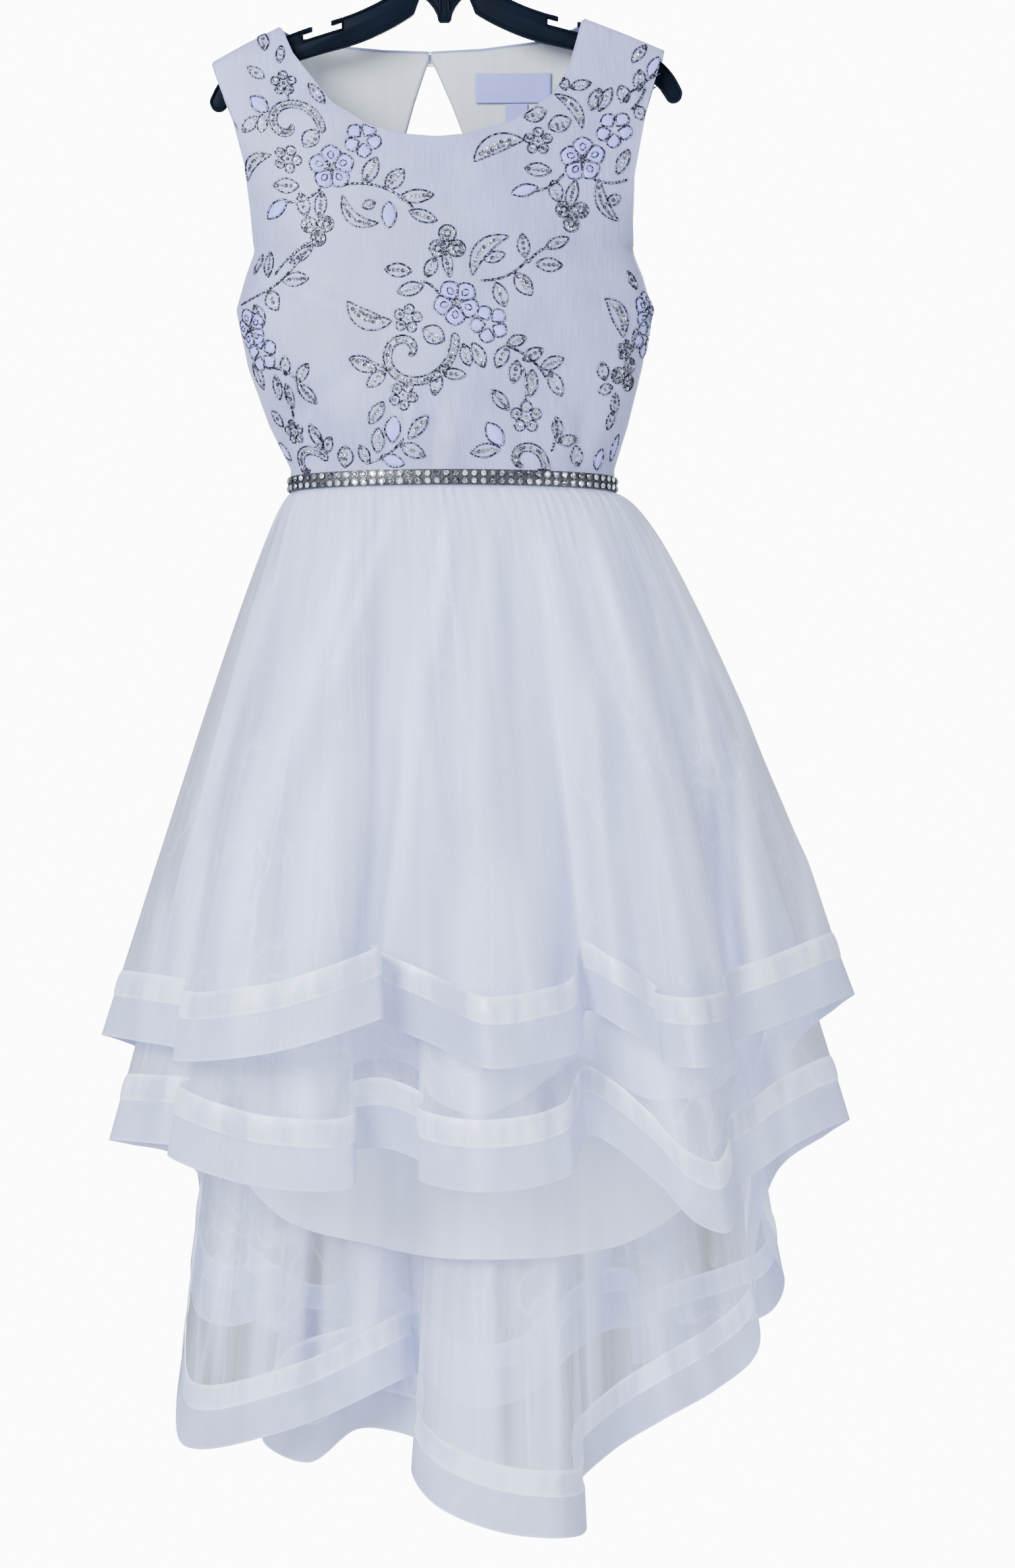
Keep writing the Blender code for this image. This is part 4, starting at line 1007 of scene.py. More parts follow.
def bodice_surface(turn, z, back=False):
    """The bodice at each turn and height: a boxy oval, folded over the arm at the shoulder.

    x is the middle plus the half width times the sine of the turn; the depth is the level's depth
    times a rounded power of the sine, drawn in to nothing at the shoulder line.
    """
    middle, half, front_depth, back_depth = bodice_level(z)
    across = np.abs(np.sin(turn))
    power = 2 + BODICE_SQUARENESS * np.clip((z - SQUARE_FROM) / SQUARE_OVER, 0, 1)
    rounding = np.maximum(1 - across**power, 0) ** (1 / power)
    x = middle + half * np.sin(turn)
    below = np.maximum(shoulder_height(x) - z, 0)
    over_arm = np.sqrt(1 - np.exp(-below / SHOULDER_ROUND))
    depth = (back_depth if back else front_depth) * rounding * over_arm
    depth = np.maximum(depth, SEAM / 2 + RIDGE_GAP * (1 - over_arm))
    return np.stack([x, depth if back else -depth, z], axis=-1)


def bodice_normal(turn, z, back=False):
    """Outward directions of the bodice, from small steps about the body and down it."""
    ridge = shoulder_height(bodice_surface(turn, z)[..., 0])
    z = np.minimum(z, ridge - RIDGE_READ)
    turn = np.clip(turn, -SEAM_TURN, SEAM_TURN)
    around = bodice_surface(turn + 0.01, z, back) - bodice_surface(turn - 0.01, z, back)
    down = bodice_surface(turn, z - 0.5, back) - bodice_surface(turn, z + 0.1, back)
    return unit(np.cross(around, down)) * (1 if back else -1)


def bodice_cloth(turn, z, back=False, height=0.0):
    """Points on the outer face of the bodice, creases and all, and the outward directions there.

    Each crease is a soft trough about a straight line in x and z that fades at both its ends.
    """
    base = bodice_surface(turn, z, back)
    away = bodice_normal(turn, z, back)
    lift = np.full(turn.shape, WALL / 2 + height)
    for x0, z0, x1, z1, width, depth in BACK_CREASES if back else FRONT_CREASES:
        run = np.array([x1 - x0, z1 - z0], float)
        length = np.hypot(*run)
        gap = np.stack([base[..., 0] - x0, base[..., 2] - z0], axis=-1)
        along = gap @ run / length**2
        aside = (gap[..., 0] * run[1] - gap[..., 1] * run[0]) / length
        lift -= depth * np.exp(-((aside / width) ** 2)) * faded(along, 0.5)
    return base + away * lift[..., None], away


def placed(line, along, at):
    """The line's numbers at some distances along it."""
    return np.column_stack([np.interp(at, along, column) for column in line.T])


def along_outline(points, count):
    """count + 1 points spaced evenly along an outline."""
    points = np.array(points, float)
    along = distances(points)
    return placed(points, along, np.linspace(0, along[-1], count + 1))


def joined(*stretches):
    """Outlines end to end, without the points that they share."""
    return np.vstack([stretches[0]] + [part[1:] for part in stretches[1:]])


def back_middle(z):
    """x of the centre back line at each height."""
    share = (z - WAIST_Z) / (NECK_BACK_LEFT[-1][1] - WAIST_Z)
    return BACK_OPENING_X[1] + share * (BACK_OPENING_X[0] - BACK_OPENING_X[1])


def keyhole_half(z):
    """Half width of the keyhole at each height."""
    hole = np.array(KEYHOLE, float)[::-1]
    return np.interp(z, hole[:, 0], hole[:, 1])


def back_edge(side, z):
    """The turn of the centre back edge at each height, with half of the keyhole cut away."""
    return bodice_turn(back_middle(z) + side * np.maximum(keyhole_half(z), SEAM / 2), z)


def panel_levels():
    """Shares of the height from the waist to the top edge, close together near the edge."""
    return np.unique(np.concatenate([np.linspace(0, 0.9, 72), np.linspace(0.9, 0.985, 14),
                                     np.linspace(0.985, 1, 8)]))[::-1, None]


def front_panel():
    """Turns and heights of the front, from side seam to side seam and waist to neck: each column is
    straight in turn and height between the waist and the top edge."""
    top = joined(
        along_outline(ARMHOLE_LEFT, 30), along_outline(SHOULDER_LEFT, 18), along_outline(NECK_FRONT, 72),
        along_outline(SHOULDER_RIGHT[::-1], 18), along_outline(ARMHOLE_RIGHT[::-1], 30),
    )
    bottom = np.linspace(-math.pi / 2, math.pi / 2, len(top))
    level = panel_levels()
    z = WAIST_Z + level * (top[:, 1] - WAIST_Z)
    return bottom + level * (bodice_turn(top[:, 0], top[:, 1]) - bottom), z


def back_panel(side):
    """Turns and heights of one back, from its side seam to the keyhole; side is -1 or 1."""
    armhole = ARMHOLE_LEFT if side < 0 else ARMHOLE_RIGHT
    shoulder = SHOULDER_LEFT if side < 0 else SHOULDER_RIGHT
    neck = NECK_BACK_LEFT if side < 0 else NECK_BACK_RIGHT
    top = joined(along_outline(armhole, 24), along_outline(shoulder, 12), along_outline(neck, 36))
    bottom = np.linspace(side * math.pi / 2, back_edge(side, WAIST_Z), len(top))
    level = panel_levels()
    z = WAIST_Z + level * (top[:, 1] - WAIST_Z)
    turn = bottom + level * (bodice_turn(top[:, 0], top[:, 1]) - bottom)
    bend = back_edge(side, z[:, -1]) - turn[:, -1]
    turn += np.linspace(0, 1, len(top)) ** 2 * bend[:, None]
    return turn, z


def bodice_piece(name, turn, z, back, material, slot, node, thickness, inset=0.0, flip=False):
    """A panel of the bodice with its thickness; the size that it was cut to is worked out but not kept.

    A place on the cloth is the distance from the centre along the level section, and the height.
    """
    points, _ = bodice_cloth(turn, z, back, -inset)
    rows, columns = turn.shape
    share = np.linspace(0, 1, 33)[:, None, None]
    steps = bodice_surface(share * turn, z + 0 * share, back)
    along = np.sign(turn) * np.linalg.norm(np.diff(steps[..., :2], axis=0), axis=3).sum(axis=0)
    uv = np.stack([along, z], axis=2).reshape(-1, 2) * MM
    piece = new_piece(name, points.reshape(-1, 3), grid_faces(rows, columns, flip=flip), [material], uv=uv)
    solidify(piece, thickness)
    seat(piece, slot, node)
    declare_sheet(piece, np.ptp(along) * MM * BODICE_CUT[0], np.ptp(z) * MM * BODICE_CUT[1], 1.0)


def carried(path, normal, profile, closed=False, scale=None):
    """A profile carried along a path: each point is the path, plus the profile's first number across
    and its second along the normal, which may be one for all. Open ends are drawn to a point."""
    normal = np.broadcast_to(normal, path.shape)
    if closed:
        ahead = np.roll(path, -1, axis=0) - np.roll(path, 1, axis=0)
    else:
        ahead = np.gradient(path, axis=0)
    across = unit(np.cross(unit(ahead), normal))
    size = np.ones(len(path)) if scale is None else scale
    if not closed:
        size = size.copy()
        size[0] = size[-1] = CORD_END
    profile = np.asarray(profile, float)
    points = (path[:, None] + (size[:, None, None] * profile[None, :, :1]) * across[:, None]
              + (size[:, None, None] * profile[None, :, 1:]) * normal[:, None])
    rows, sides = points.shape[:2]
    return points.reshape(-1, 3), grid_faces(rows, sides, around=True, over=closed)


def round_profile(radius, sides, lift=0.0):
    """A round section, its points going round from across to the normal."""
    return circle(radius, sides) + (0.0, lift)


def merged(parts):
    """Points and faces of many small shapes as one."""
    start = np.cumsum([0] + [len(points) for points, _ in parts])
    return (np.vstack([points for points, _ in parts]),
            np.vstack([faces + offset for (_, faces), offset in zip(parts, start)]))


def edge_path(points, back):
    """An edge of the bodice as a path on the cloth, with the outward directions along it."""
    turn = bodice_turn(points[:, 0], points[:, 1])
    return bodice_cloth(turn, points[:, 1], back, -WALL / 2)


def build_bindings(settings):
    """The fine bound edges of the neck, the armholes and the keyhole."""
    finish = grained("binding", 0.5, settings.cloth_colour, 0.78, 1.1, (1.2, 1.2, 1.2), bump=0.3)[0]
    profile = round_profile(settings.binding / MM, 8)
    hole = np.array(KEYHOLE, float)
    middle = back_middle(hole[:, 0])
    runs = {
        "front": [(along_outline(NECK_FRONT, 90), False),
                  (along_outline(ARMHOLE_LEFT, 50), False), (along_outline(ARMHOLE_RIGHT, 50), False)],
        "back": [(along_outline(line, 50), True) for line in (NECK_BACK_LEFT, NECK_BACK_RIGHT,
                                                              ARMHOLE_LEFT, ARMHOLE_RIGHT)]
                + [(along_outline(np.column_stack([middle + side * hole[:, 1], hole[:, 0]]), 60), True)
                   for side in (-1, 1)],
    }
    for word, lines in runs.items():
        parts = [carried(*edge_path(line, back), profile) for line, back in lines]
        points, faces = merged(parts)
        seat(new_piece(f"bindings_{word}", points, faces, [finish.material]), "bodice")


def leaf_spine(length, width, bend=0.0, count=22, blunt=1.0):
    """A leaf's middle line, half widths and sideways directions: the half width is a sine of the way
    along, raised to a power that puts its widest part nearer the tip, and the line bows by the bend."""
    t = np.linspace(0, 1, count)
    spine = np.stack([length * (t - 0.5), bend * 4 * t * (1 - t)], axis=1)
    ahead = unit(np.gradient(spine, axis=0))
    half = width / 2 * np.sin(np.pi * t**blunt) ** 0.75
    return spine, half, np.stack([-ahead[:, 1], ahead[:, 0]], axis=1)


def leaf_outline(spine, half, side):
    """The closed outline of a leaf."""
    out = spine + side * half[:, None]
    home = (spine - side * half[:, None])[::-1]
    return np.vstack([out, home[1:-1]])


def turned_by(points, degrees, shift=(0.0, 0.0)):
    """Flat places moved by a shift and then turned about the motif's middle."""
    c, s = math.cos(math.radians(degrees)), math.sin(math.radians(degrees))
    x, z = points[..., 0] + shift[0], points[..., 1] + shift[1]
    return np.stack([x * c - z * s, x * s + z * c], axis=-1)


def circle(radius, count, start=0.0):
    """Points round a flat circle."""
    angle = np.linspace(0, 2 * math.pi, count, endpoint=False) + start
    return np.stack([radius * np.cos(angle), radius * np.sin(angle)], axis=1)


def eight_round(radius, height, start=0.0):
    """Eight points round a level circle at a height."""
    return np.insert(circle(radius, 8, start), 2, height, axis=1)


def outline_from(*lines):
    """Stretches of outline put end to end with their x increasing."""
    table = np.vstack([np.array(line, float) for line in lines])
    return table[np.argsort(table[:, 0], kind="stable")]


class Needlework:
    """Cords, sequins and filled petals gathered for one side of the bodice."""

    MARGIN = 1.4  # how far the work stays inside the panel's edges

    def __init__(self, back, settings):
        self.back = back
        self.settings = settings
        self.cords, self.fills, self.spots = [], [], []
        neck = (NECK_BACK_LEFT, NECK_BACK_RIGHT) if back else (NECK_FRONT,)
        self.top = outline_from(SHOULDER_LEFT, *neck, SHOULDER_RIGHT)
        self.left, self.right = (np.array(line, float) for line in (ARMHOLE_LEFT, ARMHOLE_RIGHT))

    def held(self, x, z):
        """Places brought inside the edges of the panel, and which of them were there already."""
        low = np.where(z > self.left[0, 1], np.interp(z, self.left[:, 1], self.left[:, 0]), -500)
        high = np.where(z > self.right[0, 1], np.interp(z, self.right[:, 1], self.right[:, 0]), 500)
        new_x = np.clip(x, low + self.MARGIN, high - self.MARGIN)
        new_z = np.minimum(z, np.interp(new_x, self.top[:, 0], self.top[:, 1]) - self.MARGIN)
        new_z = np.maximum(new_z, WAIST_Z + BELT_HEIGHT / 2 + 0.5)
        if self.back:
            middle = back_middle(new_z)
            gap = keyhole_half(new_z) + self.MARGIN
            side = np.sign(np.mean(x - middle)) or 1.0
            new_x = middle + side * np.maximum(side * (new_x - middle), gap)
        return new_x, new_z, np.hypot(new_x - x, new_z - z) < 0.2

    def sewn(self, local, x, z, height):
        """Flat places about a motif's middle laid on the bodice: across is measured along the
        section at the middle's height, and up is the height itself."""
        turn = np.linspace(-SEAM_TURN, SEAM_TURN, 241)
        section = bodice_surface(turn, np.full_like(turn, z), self.back)
        along = distances(section[:, :2])
        start = np.interp(bodice_turn(x, z), turn, along)
        at = np.interp(start + local[..., 0], along, turn)
        middle, half = bodice_level(z)[:2]
        place_x, place_z, kept = self.held(middle + half * np.sin(at), z + local[..., 1])
        share = np.cos(at) ** 2
        final = share * bodice_turn(place_x, place_z) + (1 - share) * at
        points, away = bodice_cloth(final, place_z, self.back, height)
        return points, away, kept

    def cord(self, local, x, z, closed=True):
        """A raised cord along a flat line."""
        width = self.settings.cord_width / MM
        points, away, _ = self.sewn(local, x, z, 0.0)
        profile = round_profile(width / 2, 5, width * 0.25)
        self.cords.append(carried(points, away, profile, closed))

    def sequins(self, local, x, z):
        """Sequins at flat places, but for those beyond the panel's edges."""
        points, away, kept = self.sewn(local, x, z, SEQUIN_LIFT)
        self.spots.append((points[kept], away[kept]))

    def fill(self, spine, half, side, degrees, shift, x, z):
        """A leaf or petal filled with satin stitch: a grid along and across it, crowned in the middle."""
        across = np.linspace(-1, 1, 9)
        grid = spine[:, None] + side[:, None] * (half[:, None] * across * 0.92)[..., None]
        flat = turned_by(grid, degrees, shift)
        t = np.linspace(0, 1, len(spine))[:, None]
        crown = -0.2 + 1.15 * np.sqrt(np.maximum(1 - across**2, 0)) * np.sin(np.pi * t) ** 0.4
        points, away, _ = self.sewn(flat, x, z, 0.0)
        points = points + away * crown[..., None]
        uv = np.stack([spine[:, None, 0] + 0 * across, half[:, None] * across], axis=2) + (x, z)
        faces = grid_faces(len(spine), len(across))
        faces = turned_over(faces) if self.back else faces
        self.fills.append((points.reshape(-1, 3), faces, uv.reshape(-1, 2) * MM))

    def leaf(self, x, z, degrees, length, width, filled=0, bend=0.0):
        """An outlined leaf with sequins down its middle, or filled."""
        spine, half, side = leaf_spine(length, width, bend)
        self.cord(turned_by(leaf_outline(spine, half, side), degrees), x, z)
        if filled:
            self.fill(spine, half, side, degrees, (0, 0), x, z)
            return
        count = max(3, int(length * 0.72 / self.pitch()))
        at = np.linspace(0.16, 0.84, count)
        line = np.stack([length * (at - 0.5), bend * 4 * at * (1 - at)], axis=1)
        self.sequins(turned_by(line, degrees), x, z)
        if width > WIDE_LEAF:
            self.sequins(turned_by(line[1:-1] + (0, width * 0.24), degrees), x, z)

    def pitch(self):
        """Distance from one sequin to the next in a row."""
        return self.settings.sequin_radius / MM * 1.75

    def petal(self, x, z, degrees, reach, length, width, rich=True):
        """One filled petal about a flower's middle."""
        spine, half, side = leaf_spine(length, width, 0.0, 14, 1.3)
        self.cord(turned_by(leaf_outline(spine, half, side), degrees, (reach, 0)), x, z)
        self.fill(spine, half, side, degrees, (reach, 0), x, z)
        if rich:
            loop = leaf_outline(*leaf_spine(length * 0.4, width * 0.3, 0.0, 8))
            points, away, _ = self.sewn(turned_by(loop, degrees, (reach * 0.95, 0)), x, z, 0.8)
            width = self.settings.cord_width / MM
            self.cords.append(carried(points, away, round_profile(width * 0.4, 5, width * 0.2), True))

    def flower(self, x, z, degrees, radius):
        """Five filled petals round a small ring with a sequin in it."""
        for k in range(5):
            self.petal(x, z, degrees + 72 * k, radius * 0.58, radius * 0.86, radius * 0.84)
        self.cord(circle(radius * 0.15, 10), x, z)
        self.sequins(circle(radius * 0.10, 3), x, z)

    def cluster(self, x, z, degrees, radius):
        """Five round filled petals in a ring."""
        for k in range(5):
            self.petal(x, z, degrees + 72 * k, radius, radius * 1.28, radius * 1.26, rich=False)

    def blossom(self, x, z, degrees, radius):
        """Five small open rings with sequins in them."""
        for k in range(5):
            middle = turned_by(np.array([[radius * 0.64, 0.0]]), degrees + 72 * k)
            self.cord(circle(radius * 0.33, 12) + middle, x, z)
            self.sequins(np.array([[0.7, 0.0], [-0.7, 0.5]]) + middle, x, z)
        self.sequins(np.array([[0.0, 0.0]]), x, z)

    def trefoil(self, x, z, degrees, radius):
        """Three round petals, each two rings of cord with sequins between them."""
        for k in range(3):
            middle = turned_by(np.array([[radius * 0.56, 0.0]]), degrees + 118 * (k - 1))
            self.cord(circle(radius * 0.45, 20) + middle, x, z)
            self.cord(circle(radius * 0.17, 10) + middle, x, z)
            self.sequins(circle(radius * 0.31, 8) + middle, x, z)

    def scroll(self, x, z, start, sweep, first, growth):
        """A band between two cords on a spiral whose radius grows by an even share with each radian."""
        total = math.radians(abs(sweep))
        length = first * (math.exp(growth * total) - 1) / growth * math.hypot(1, growth)
        turn = np.log(np.linspace(1, math.exp(growth * total), int(length / 1.5) + 4)) / growth
        radius = first * np.exp(growth * turn)
        angle = math.radians(start) + math.copysign(1, sweep) * turn
        spine = np.stack([radius * np.cos(angle), radius * np.sin(angle)], axis=1)
        ahead = unit(np.gradient(spine, axis=0))
        side = np.stack([-ahead[:, 1], ahead[:, 0]], axis=1)
        from_end = np.minimum(np.arange(len(spine)), np.arange(len(spine))[::-1])
        half = np.minimum(2.9, 0.42 * radius) * np.sqrt(1 - (1 - np.minimum(from_end / 3, 1)) ** 2)
        self.cord(leaf_outline(spine, half, side), x, z)
        count = int(length / self.pitch())
        along = distances(spine)
        self.sequins(placed(spine, along, np.linspace(2, along[-1] - 2, count)), x, z)

    def stem(self, x0, z0, x1, z1, bend):
        """Two strands of cord side by side on a bowed line."""
        t = np.linspace(0, 1, max(8, int(math.hypot(x1 - x0, z1 - z0) / 1.6)))
        run = np.array([x1 - x0, z1 - z0], float)
        side = np.array([-run[1], run[0]]) / np.hypot(*run)
        line = (t - 0.5)[:, None] * run + side * (bend * 4 * t * (1 - t) - bend / 2)[:, None]
        for strand in (-0.45, 0.45):
            self.cord(line + side * strand * np.sin(t * len(t) * 0.9)[:, None], (x0 + x1) / 2, (z0 + z1) / 2,
                      closed=False)

    def pieces(self, word, cord_finish, sequin_finish, petal_finish, seed):
        """The three joined pieces."""
        points, faces = merged(self.cords)
        seat(new_piece(f"silver_cord_{word}", points, faces, [cord_finish]), "bodice")
        centres = np.vstack([spot[0] for spot in self.spots])
        away = np.vstack([spot[1] for spot in self.spots])
        chance = np.random.default_rng(seed)
        away = unit(away + chance.normal(0, SEQUIN_TILT, away.shape))
        across = unit(np.cross(np.array((0.0, 0.0, 1.0)), away))
        up = np.cross(away, across)
        shape = np.vstack([eight_round(radius, height) for radius, height, _ in SEQUIN_RINGS])
        faces = grid_faces(len(SEQUIN_RINGS), 8, around=True, over=True, flip=True)
        size = self.settings.sequin_radius / MM * chance.uniform(0.9, 1.1, len(centres))
        points, faces = stamped(shape, faces, centres, across, up, away, size)
        tone = np.repeat(chance.uniform(0, 1, len(centres)), len(shape))
        # painted shade of each ring: a sequin is painted darker at its rim, at its hole and underneath
        rim = np.tile(np.repeat([painted_ring_shade for _, _, painted_ring_shade in SEQUIN_RINGS], 8), len(centres))
        seat(new_piece(f"sequins_{word}", points, faces, [sequin_finish], values={"tone": tone, "rim": rim}),
             "bodice")
        points, faces = merged([(p, f) for p, f, _ in self.fills])
        uv = np.vstack([place for _, _, place in self.fills])
        seat(new_piece(f"petals_{word}", points, faces, [petal_finish], uv=uv), "bodice")


def build_embroidery(settings):
    """The sprays of the front, and the same motifs turned over for the back."""
    cord = Finish("silver_cord", 0.3, 0.85)
    dash = cord.noise(cord.object_place(1.6, 1.6, 1.6), 1.0)
    cord.shade(cord.span(dash, 0, 1, 0.46, 0.62), settings.cord_colour, 0.07, 1.8)
    cord.bump(dash, 0.3)
    disc = Finish("sequin", 0.16, 0.8)
    mottle = disc.noise(disc.object_place(2.4, 2.4, 2.4), 1.0)
    share = disc.plus(disc.span(mottle, -0.1, 0.35, 0.3, 0.7), disc.number("tone"), 0.75)
    # painted shade: darker by each ring's painted shade, at the rim, the hole and underneath
    share = disc.plus(share, disc.number("rim"), -1.1)
    disc.shade(disc.span(share, 0, 1, 0.05, 0.75), settings.sequin_colour, 0.05, 1.9)
    disc.put("Roughness", disc.span(mottle, 0.2, 0.38, 0.3, 0.7))
    disc.put("Coat Weight", 0.5)
    satin = Finish("satin_stitch", 0.38)
    thread = satin.bands(satin.cloth_place(0.6, 1.8), "DIAGONAL")
    cloud = satin.noise(satin.cloth_place(6, 6), 2.0)
    sheen = satin.calc("MULTIPLY", satin.plus(thread, cloud), 0.5)
    satin.shade(sheen, settings.petal_colour, 0.86, 1.2)
    satin.put("Sheen Weight", 0.5)
    satin.bump(thread, 0.15)
    for back, word in ((False, "front"), (True, "back")):
        work = Needlework(back, settings)
        for kind, table in ((work.leaf, LEAVES), (work.flower, FLOWERS), (work.cluster, CLUSTERS),
                            (work.blossom, BLOSSOMS), (work.trefoil, TREFOILS), (work.scroll, SCROLLS),
                            (work.stem, STEMS)):
            for row in table:
                if not back or abs(row[0]) > BACK_CLEAR_X or row[1] < BACK_CLEAR_Z:
                    kind(*row)
        for x, z, degrees, length, width, bend in CRESCENTS:
            if not back or abs(x) > BACK_CLEAR_X_BENT or z < BACK_CLEAR_Z:
                work.leaf(x, z, degrees, length, width, 0, bend)
        work.pieces(word, cord.material, disc.material, satin.material, SEQUIN_SEED)


def build_bodice(settings):
    """The front, the two backs and their bound edges."""
    cloth = bodice_finish("bodice_cloth", settings.cloth_colour)
    turn, z = front_panel()
    bodice_piece("front_cloth", turn, z, False, cloth, "bodice", "bodice_front", settings.thickness)
    for side, word in ((-1, "left"), (1, "right")):
        turn, z = back_panel(side)
        bodice_piece(f"back_cloth_{word}", turn, z, True, cloth, "bodice", f"bodice_back_{word}",
                     settings.thickness, flip=side < 0)
    build_bindings(settings)


def build_back_lining(settings):
    """The lining that shows inside the back neck."""
    cloth = lining_finish("bodice_lining_cloth", settings.lining_colour)
    for side, word in ((-1, "left"), (1, "right")):
        turn, z = back_panel(side)
        bodice_piece(f"back_facing_{word}", turn[2:], z[2:], True, cloth, "back_lining",
                     f"back_lining_{word}", settings.thickness, inset=WALL + SEAM, flip=side < 0)


def label_piece(name, limits, material, node):
    """A woven tab that lies flat on the back lining."""
    x0, x1, z0, z1 = limits
    x, z = np.meshgrid(np.linspace(x0, x1, 30), np.linspace(z1, z0, 20))
    turn = bodice_turn(x, z)
    depth = 2 * (WALL + SEAM) + WALL / 2
    points = bodice_surface(turn, z, True) - depth * bodice_normal(turn, z, True)
    uv = np.stack([x - x0, z - z0], axis=2).reshape(-1, 2) * MM
    piece = new_piece(name, points.reshape(-1, 3), grid_faces(*x.shape, flip=True), [material], uv=uv)
    solidify(piece, LABEL_THICKNESS * MM)
    seat(piece, "label", node)


def build_labels(settings):
    """The bare label and the bare size tag under it."""
    finish = Finish("label_cloth", 0.45)
    warp = finish.bands(finish.cloth_place(0.5, 400))
    weft = finish.bands(finish.cloth_place(400, 0.7), "Y")
    weave = finish.calc("MULTIPLY", warp, weft)
    finish.shade(weave, settings.label_colour, 0.9, 1.12)
    finish.put("Sheen Weight", 0.4)
    finish.bump(weave, 0.15)
    label_piece("bare_label", LABEL, finish.material, "label")
    label_piece("bare_size_tag", SIZE_TAG, finish.material, "size_tag")


def stamped(shape, faces, centres, across, up, out, size):
    """Copies of one small shape: each point is a centre plus the shape's three numbers along
    that copy's across, up and out directions, times its size."""
    points = centres[:, None] + size[:, None, None] * (
        shape[None, :, :1] * across[:, None] + shape[None, :, 1:2] * up[:, None]
        + shape[None, :, 2:] * out[:, None])
    offsets = np.arange(len(centres))[:, None, None] * len(shape)
    return points.reshape(-1, 3), (faces[None] + offsets).reshape(-1, faces.shape[1])


def build_belt(settings):
    """Two rows of cut stones in cups on a narrow band round the waist seam."""
    angle = np.linspace(0, 2 * math.pi, 240, endpoint=False)
    middle = WAIST_Z - SEAM / 2
    inside = WALL / 2 + SEAM

    def ring(turn, out, z):
        """Points round the waist's oval, moved out."""
        return np.stack([WAIST_CENTRE_X + (WAIST_HALF_WIDTH + out) * np.sin(turn),
                         -(WAIST_HALF_DEPTH + out) * np.cos(turn), np.full(len(turn), z)], axis=1)

    half = BELT_HEIGHT / 2
    section = ((inside + BELT_BASE - 0.3, half), (inside + BELT_BASE, half - 0.4),
               (inside + BELT_BASE, 0.4 - half), (inside + BELT_BASE - 0.3, -half), (inside, -half),
               (inside, half))
    rings = np.stack([ring(angle, out, middle + rise) for out, rise in section])
    tape = grained("belt_tape", 0.5, settings.tape_colour, 0.7, 1, (1, 1, 1), bump=0.2)[0].material
    piece = new_piece("belt_tape", rings.reshape(-1, 3),
                      grid_faces(len(section), len(angle), around=True, over=True), [tape], sharp=40)
    seat(piece, "belt", "belt")

    fine = np.linspace(0, 2 * math.pi, 2001)
    walk = distances(ring(fine, 0, middle))
    turn = np.interp((np.arange(STONES_ROUND) + 0.5) / STONES_ROUND * walk[-1], walk, fine)
    centres, outs = [], []
    for rise in (BELT_HEIGHT / 4, -BELT_HEIGHT / 4):
        centres.append(ring(turn, inside + BELT_BASE, middle + rise))
        outs.append(unit(np.stack([np.sin(turn) / WAIST_HALF_WIDTH, -np.cos(turn) / WAIST_HALF_DEPTH,
                                   np.zeros(len(turn))], axis=1)))
    centres, out = np.vstack(centres), np.vstack(outs)
    up = np.tile((0.0, 0.0, 1.0), (len(out), 1))
    across = np.cross(up, out)
    chance = np.random.default_rng(STONE_SEED)
    spin = chance.uniform(0, math.pi / 4, len(out))
    turned = across * np.cos(spin)[:, None] + up * np.sin(spin)[:, None]
    beside = -across * np.sin(spin)[:, None] + up * np.cos(spin)[:, None]
    size = np.full(len(out), settings.stone_radius / MM)
    crown = np.vstack([*(eight_round(*row) for row in STONE_RINGS), (0, 0, STONE_RINGS[-1][1])])
    k = np.arange(8)
    n = (k + 1) % 8
    facets = np.vstack([
        np.stack([k, n, 8 + k], 1), np.stack([n, 8 + n, 8 + k], 1),
        np.stack([8 + k, 16 + n, 16 + k], 1), np.stack([8 + k, 8 + n, 16 + n], 1),
        np.stack([16 + k, 16 + n, np.full(8, 24)], 1)])
    points, faces = stamped(crown, facets, centres, turned, beside, out, size)
    stone = Finish("cut_stone", 0.14, 0.75)
    speckle = stone.add("TexVoronoi", {"Vector": stone.object_place(1.6, 1.6, 1.6), "Scale": 1.0})
    mixed = stone.calc("MULTIPLY", stone.plus(stone.number("tone"), speckle), 0.6)
    stone.shade(stone.span(mixed, 0, 1, 0.34, 0.84), settings.stone_colour, 0.04, 1)
    stone.put("Coat Weight", 0.6)
    piece = new_piece("belt_stones", points, faces, [stone.material], sharp=1,
                      values={"tone": np.repeat(chance.uniform(0, 1, len(out)), len(crown))})
    seat(piece, "belt")

    cup = np.vstack([eight_round(*row) for row in CUP_RINGS])
    walls = turned_over(grid_faces(len(CUP_RINGS), 8, around=True, over=True))
    points, faces = stamped(cup, walls, centres, across, up, out, size)
    metal = Finish("stone_cup", 0.28, 0.9)
    wear = metal.noise(metal.object_place(2.0, 2.0, 2.0), 3.0)
    metal.shade(metal.span(wear, 0, 1, 0.42, 0.58), settings.cup_colour, 0.1, 2.2)
    metal.bump(wear, 0.08)
    seat(new_piece("belt_cups", points, faces, [metal.material], sharp=35), "belt")


def tilted(points):
    """Points of the hanger turned by its small tilt about the hook."""
    c, s = math.cos(HANGER_TILT), math.sin(HANGER_TILT)
    x, z = points[:, 0], points[:, 2]
    return np.stack([c * x - s * z, points[:, 1], s * x + c * z], axis=1)


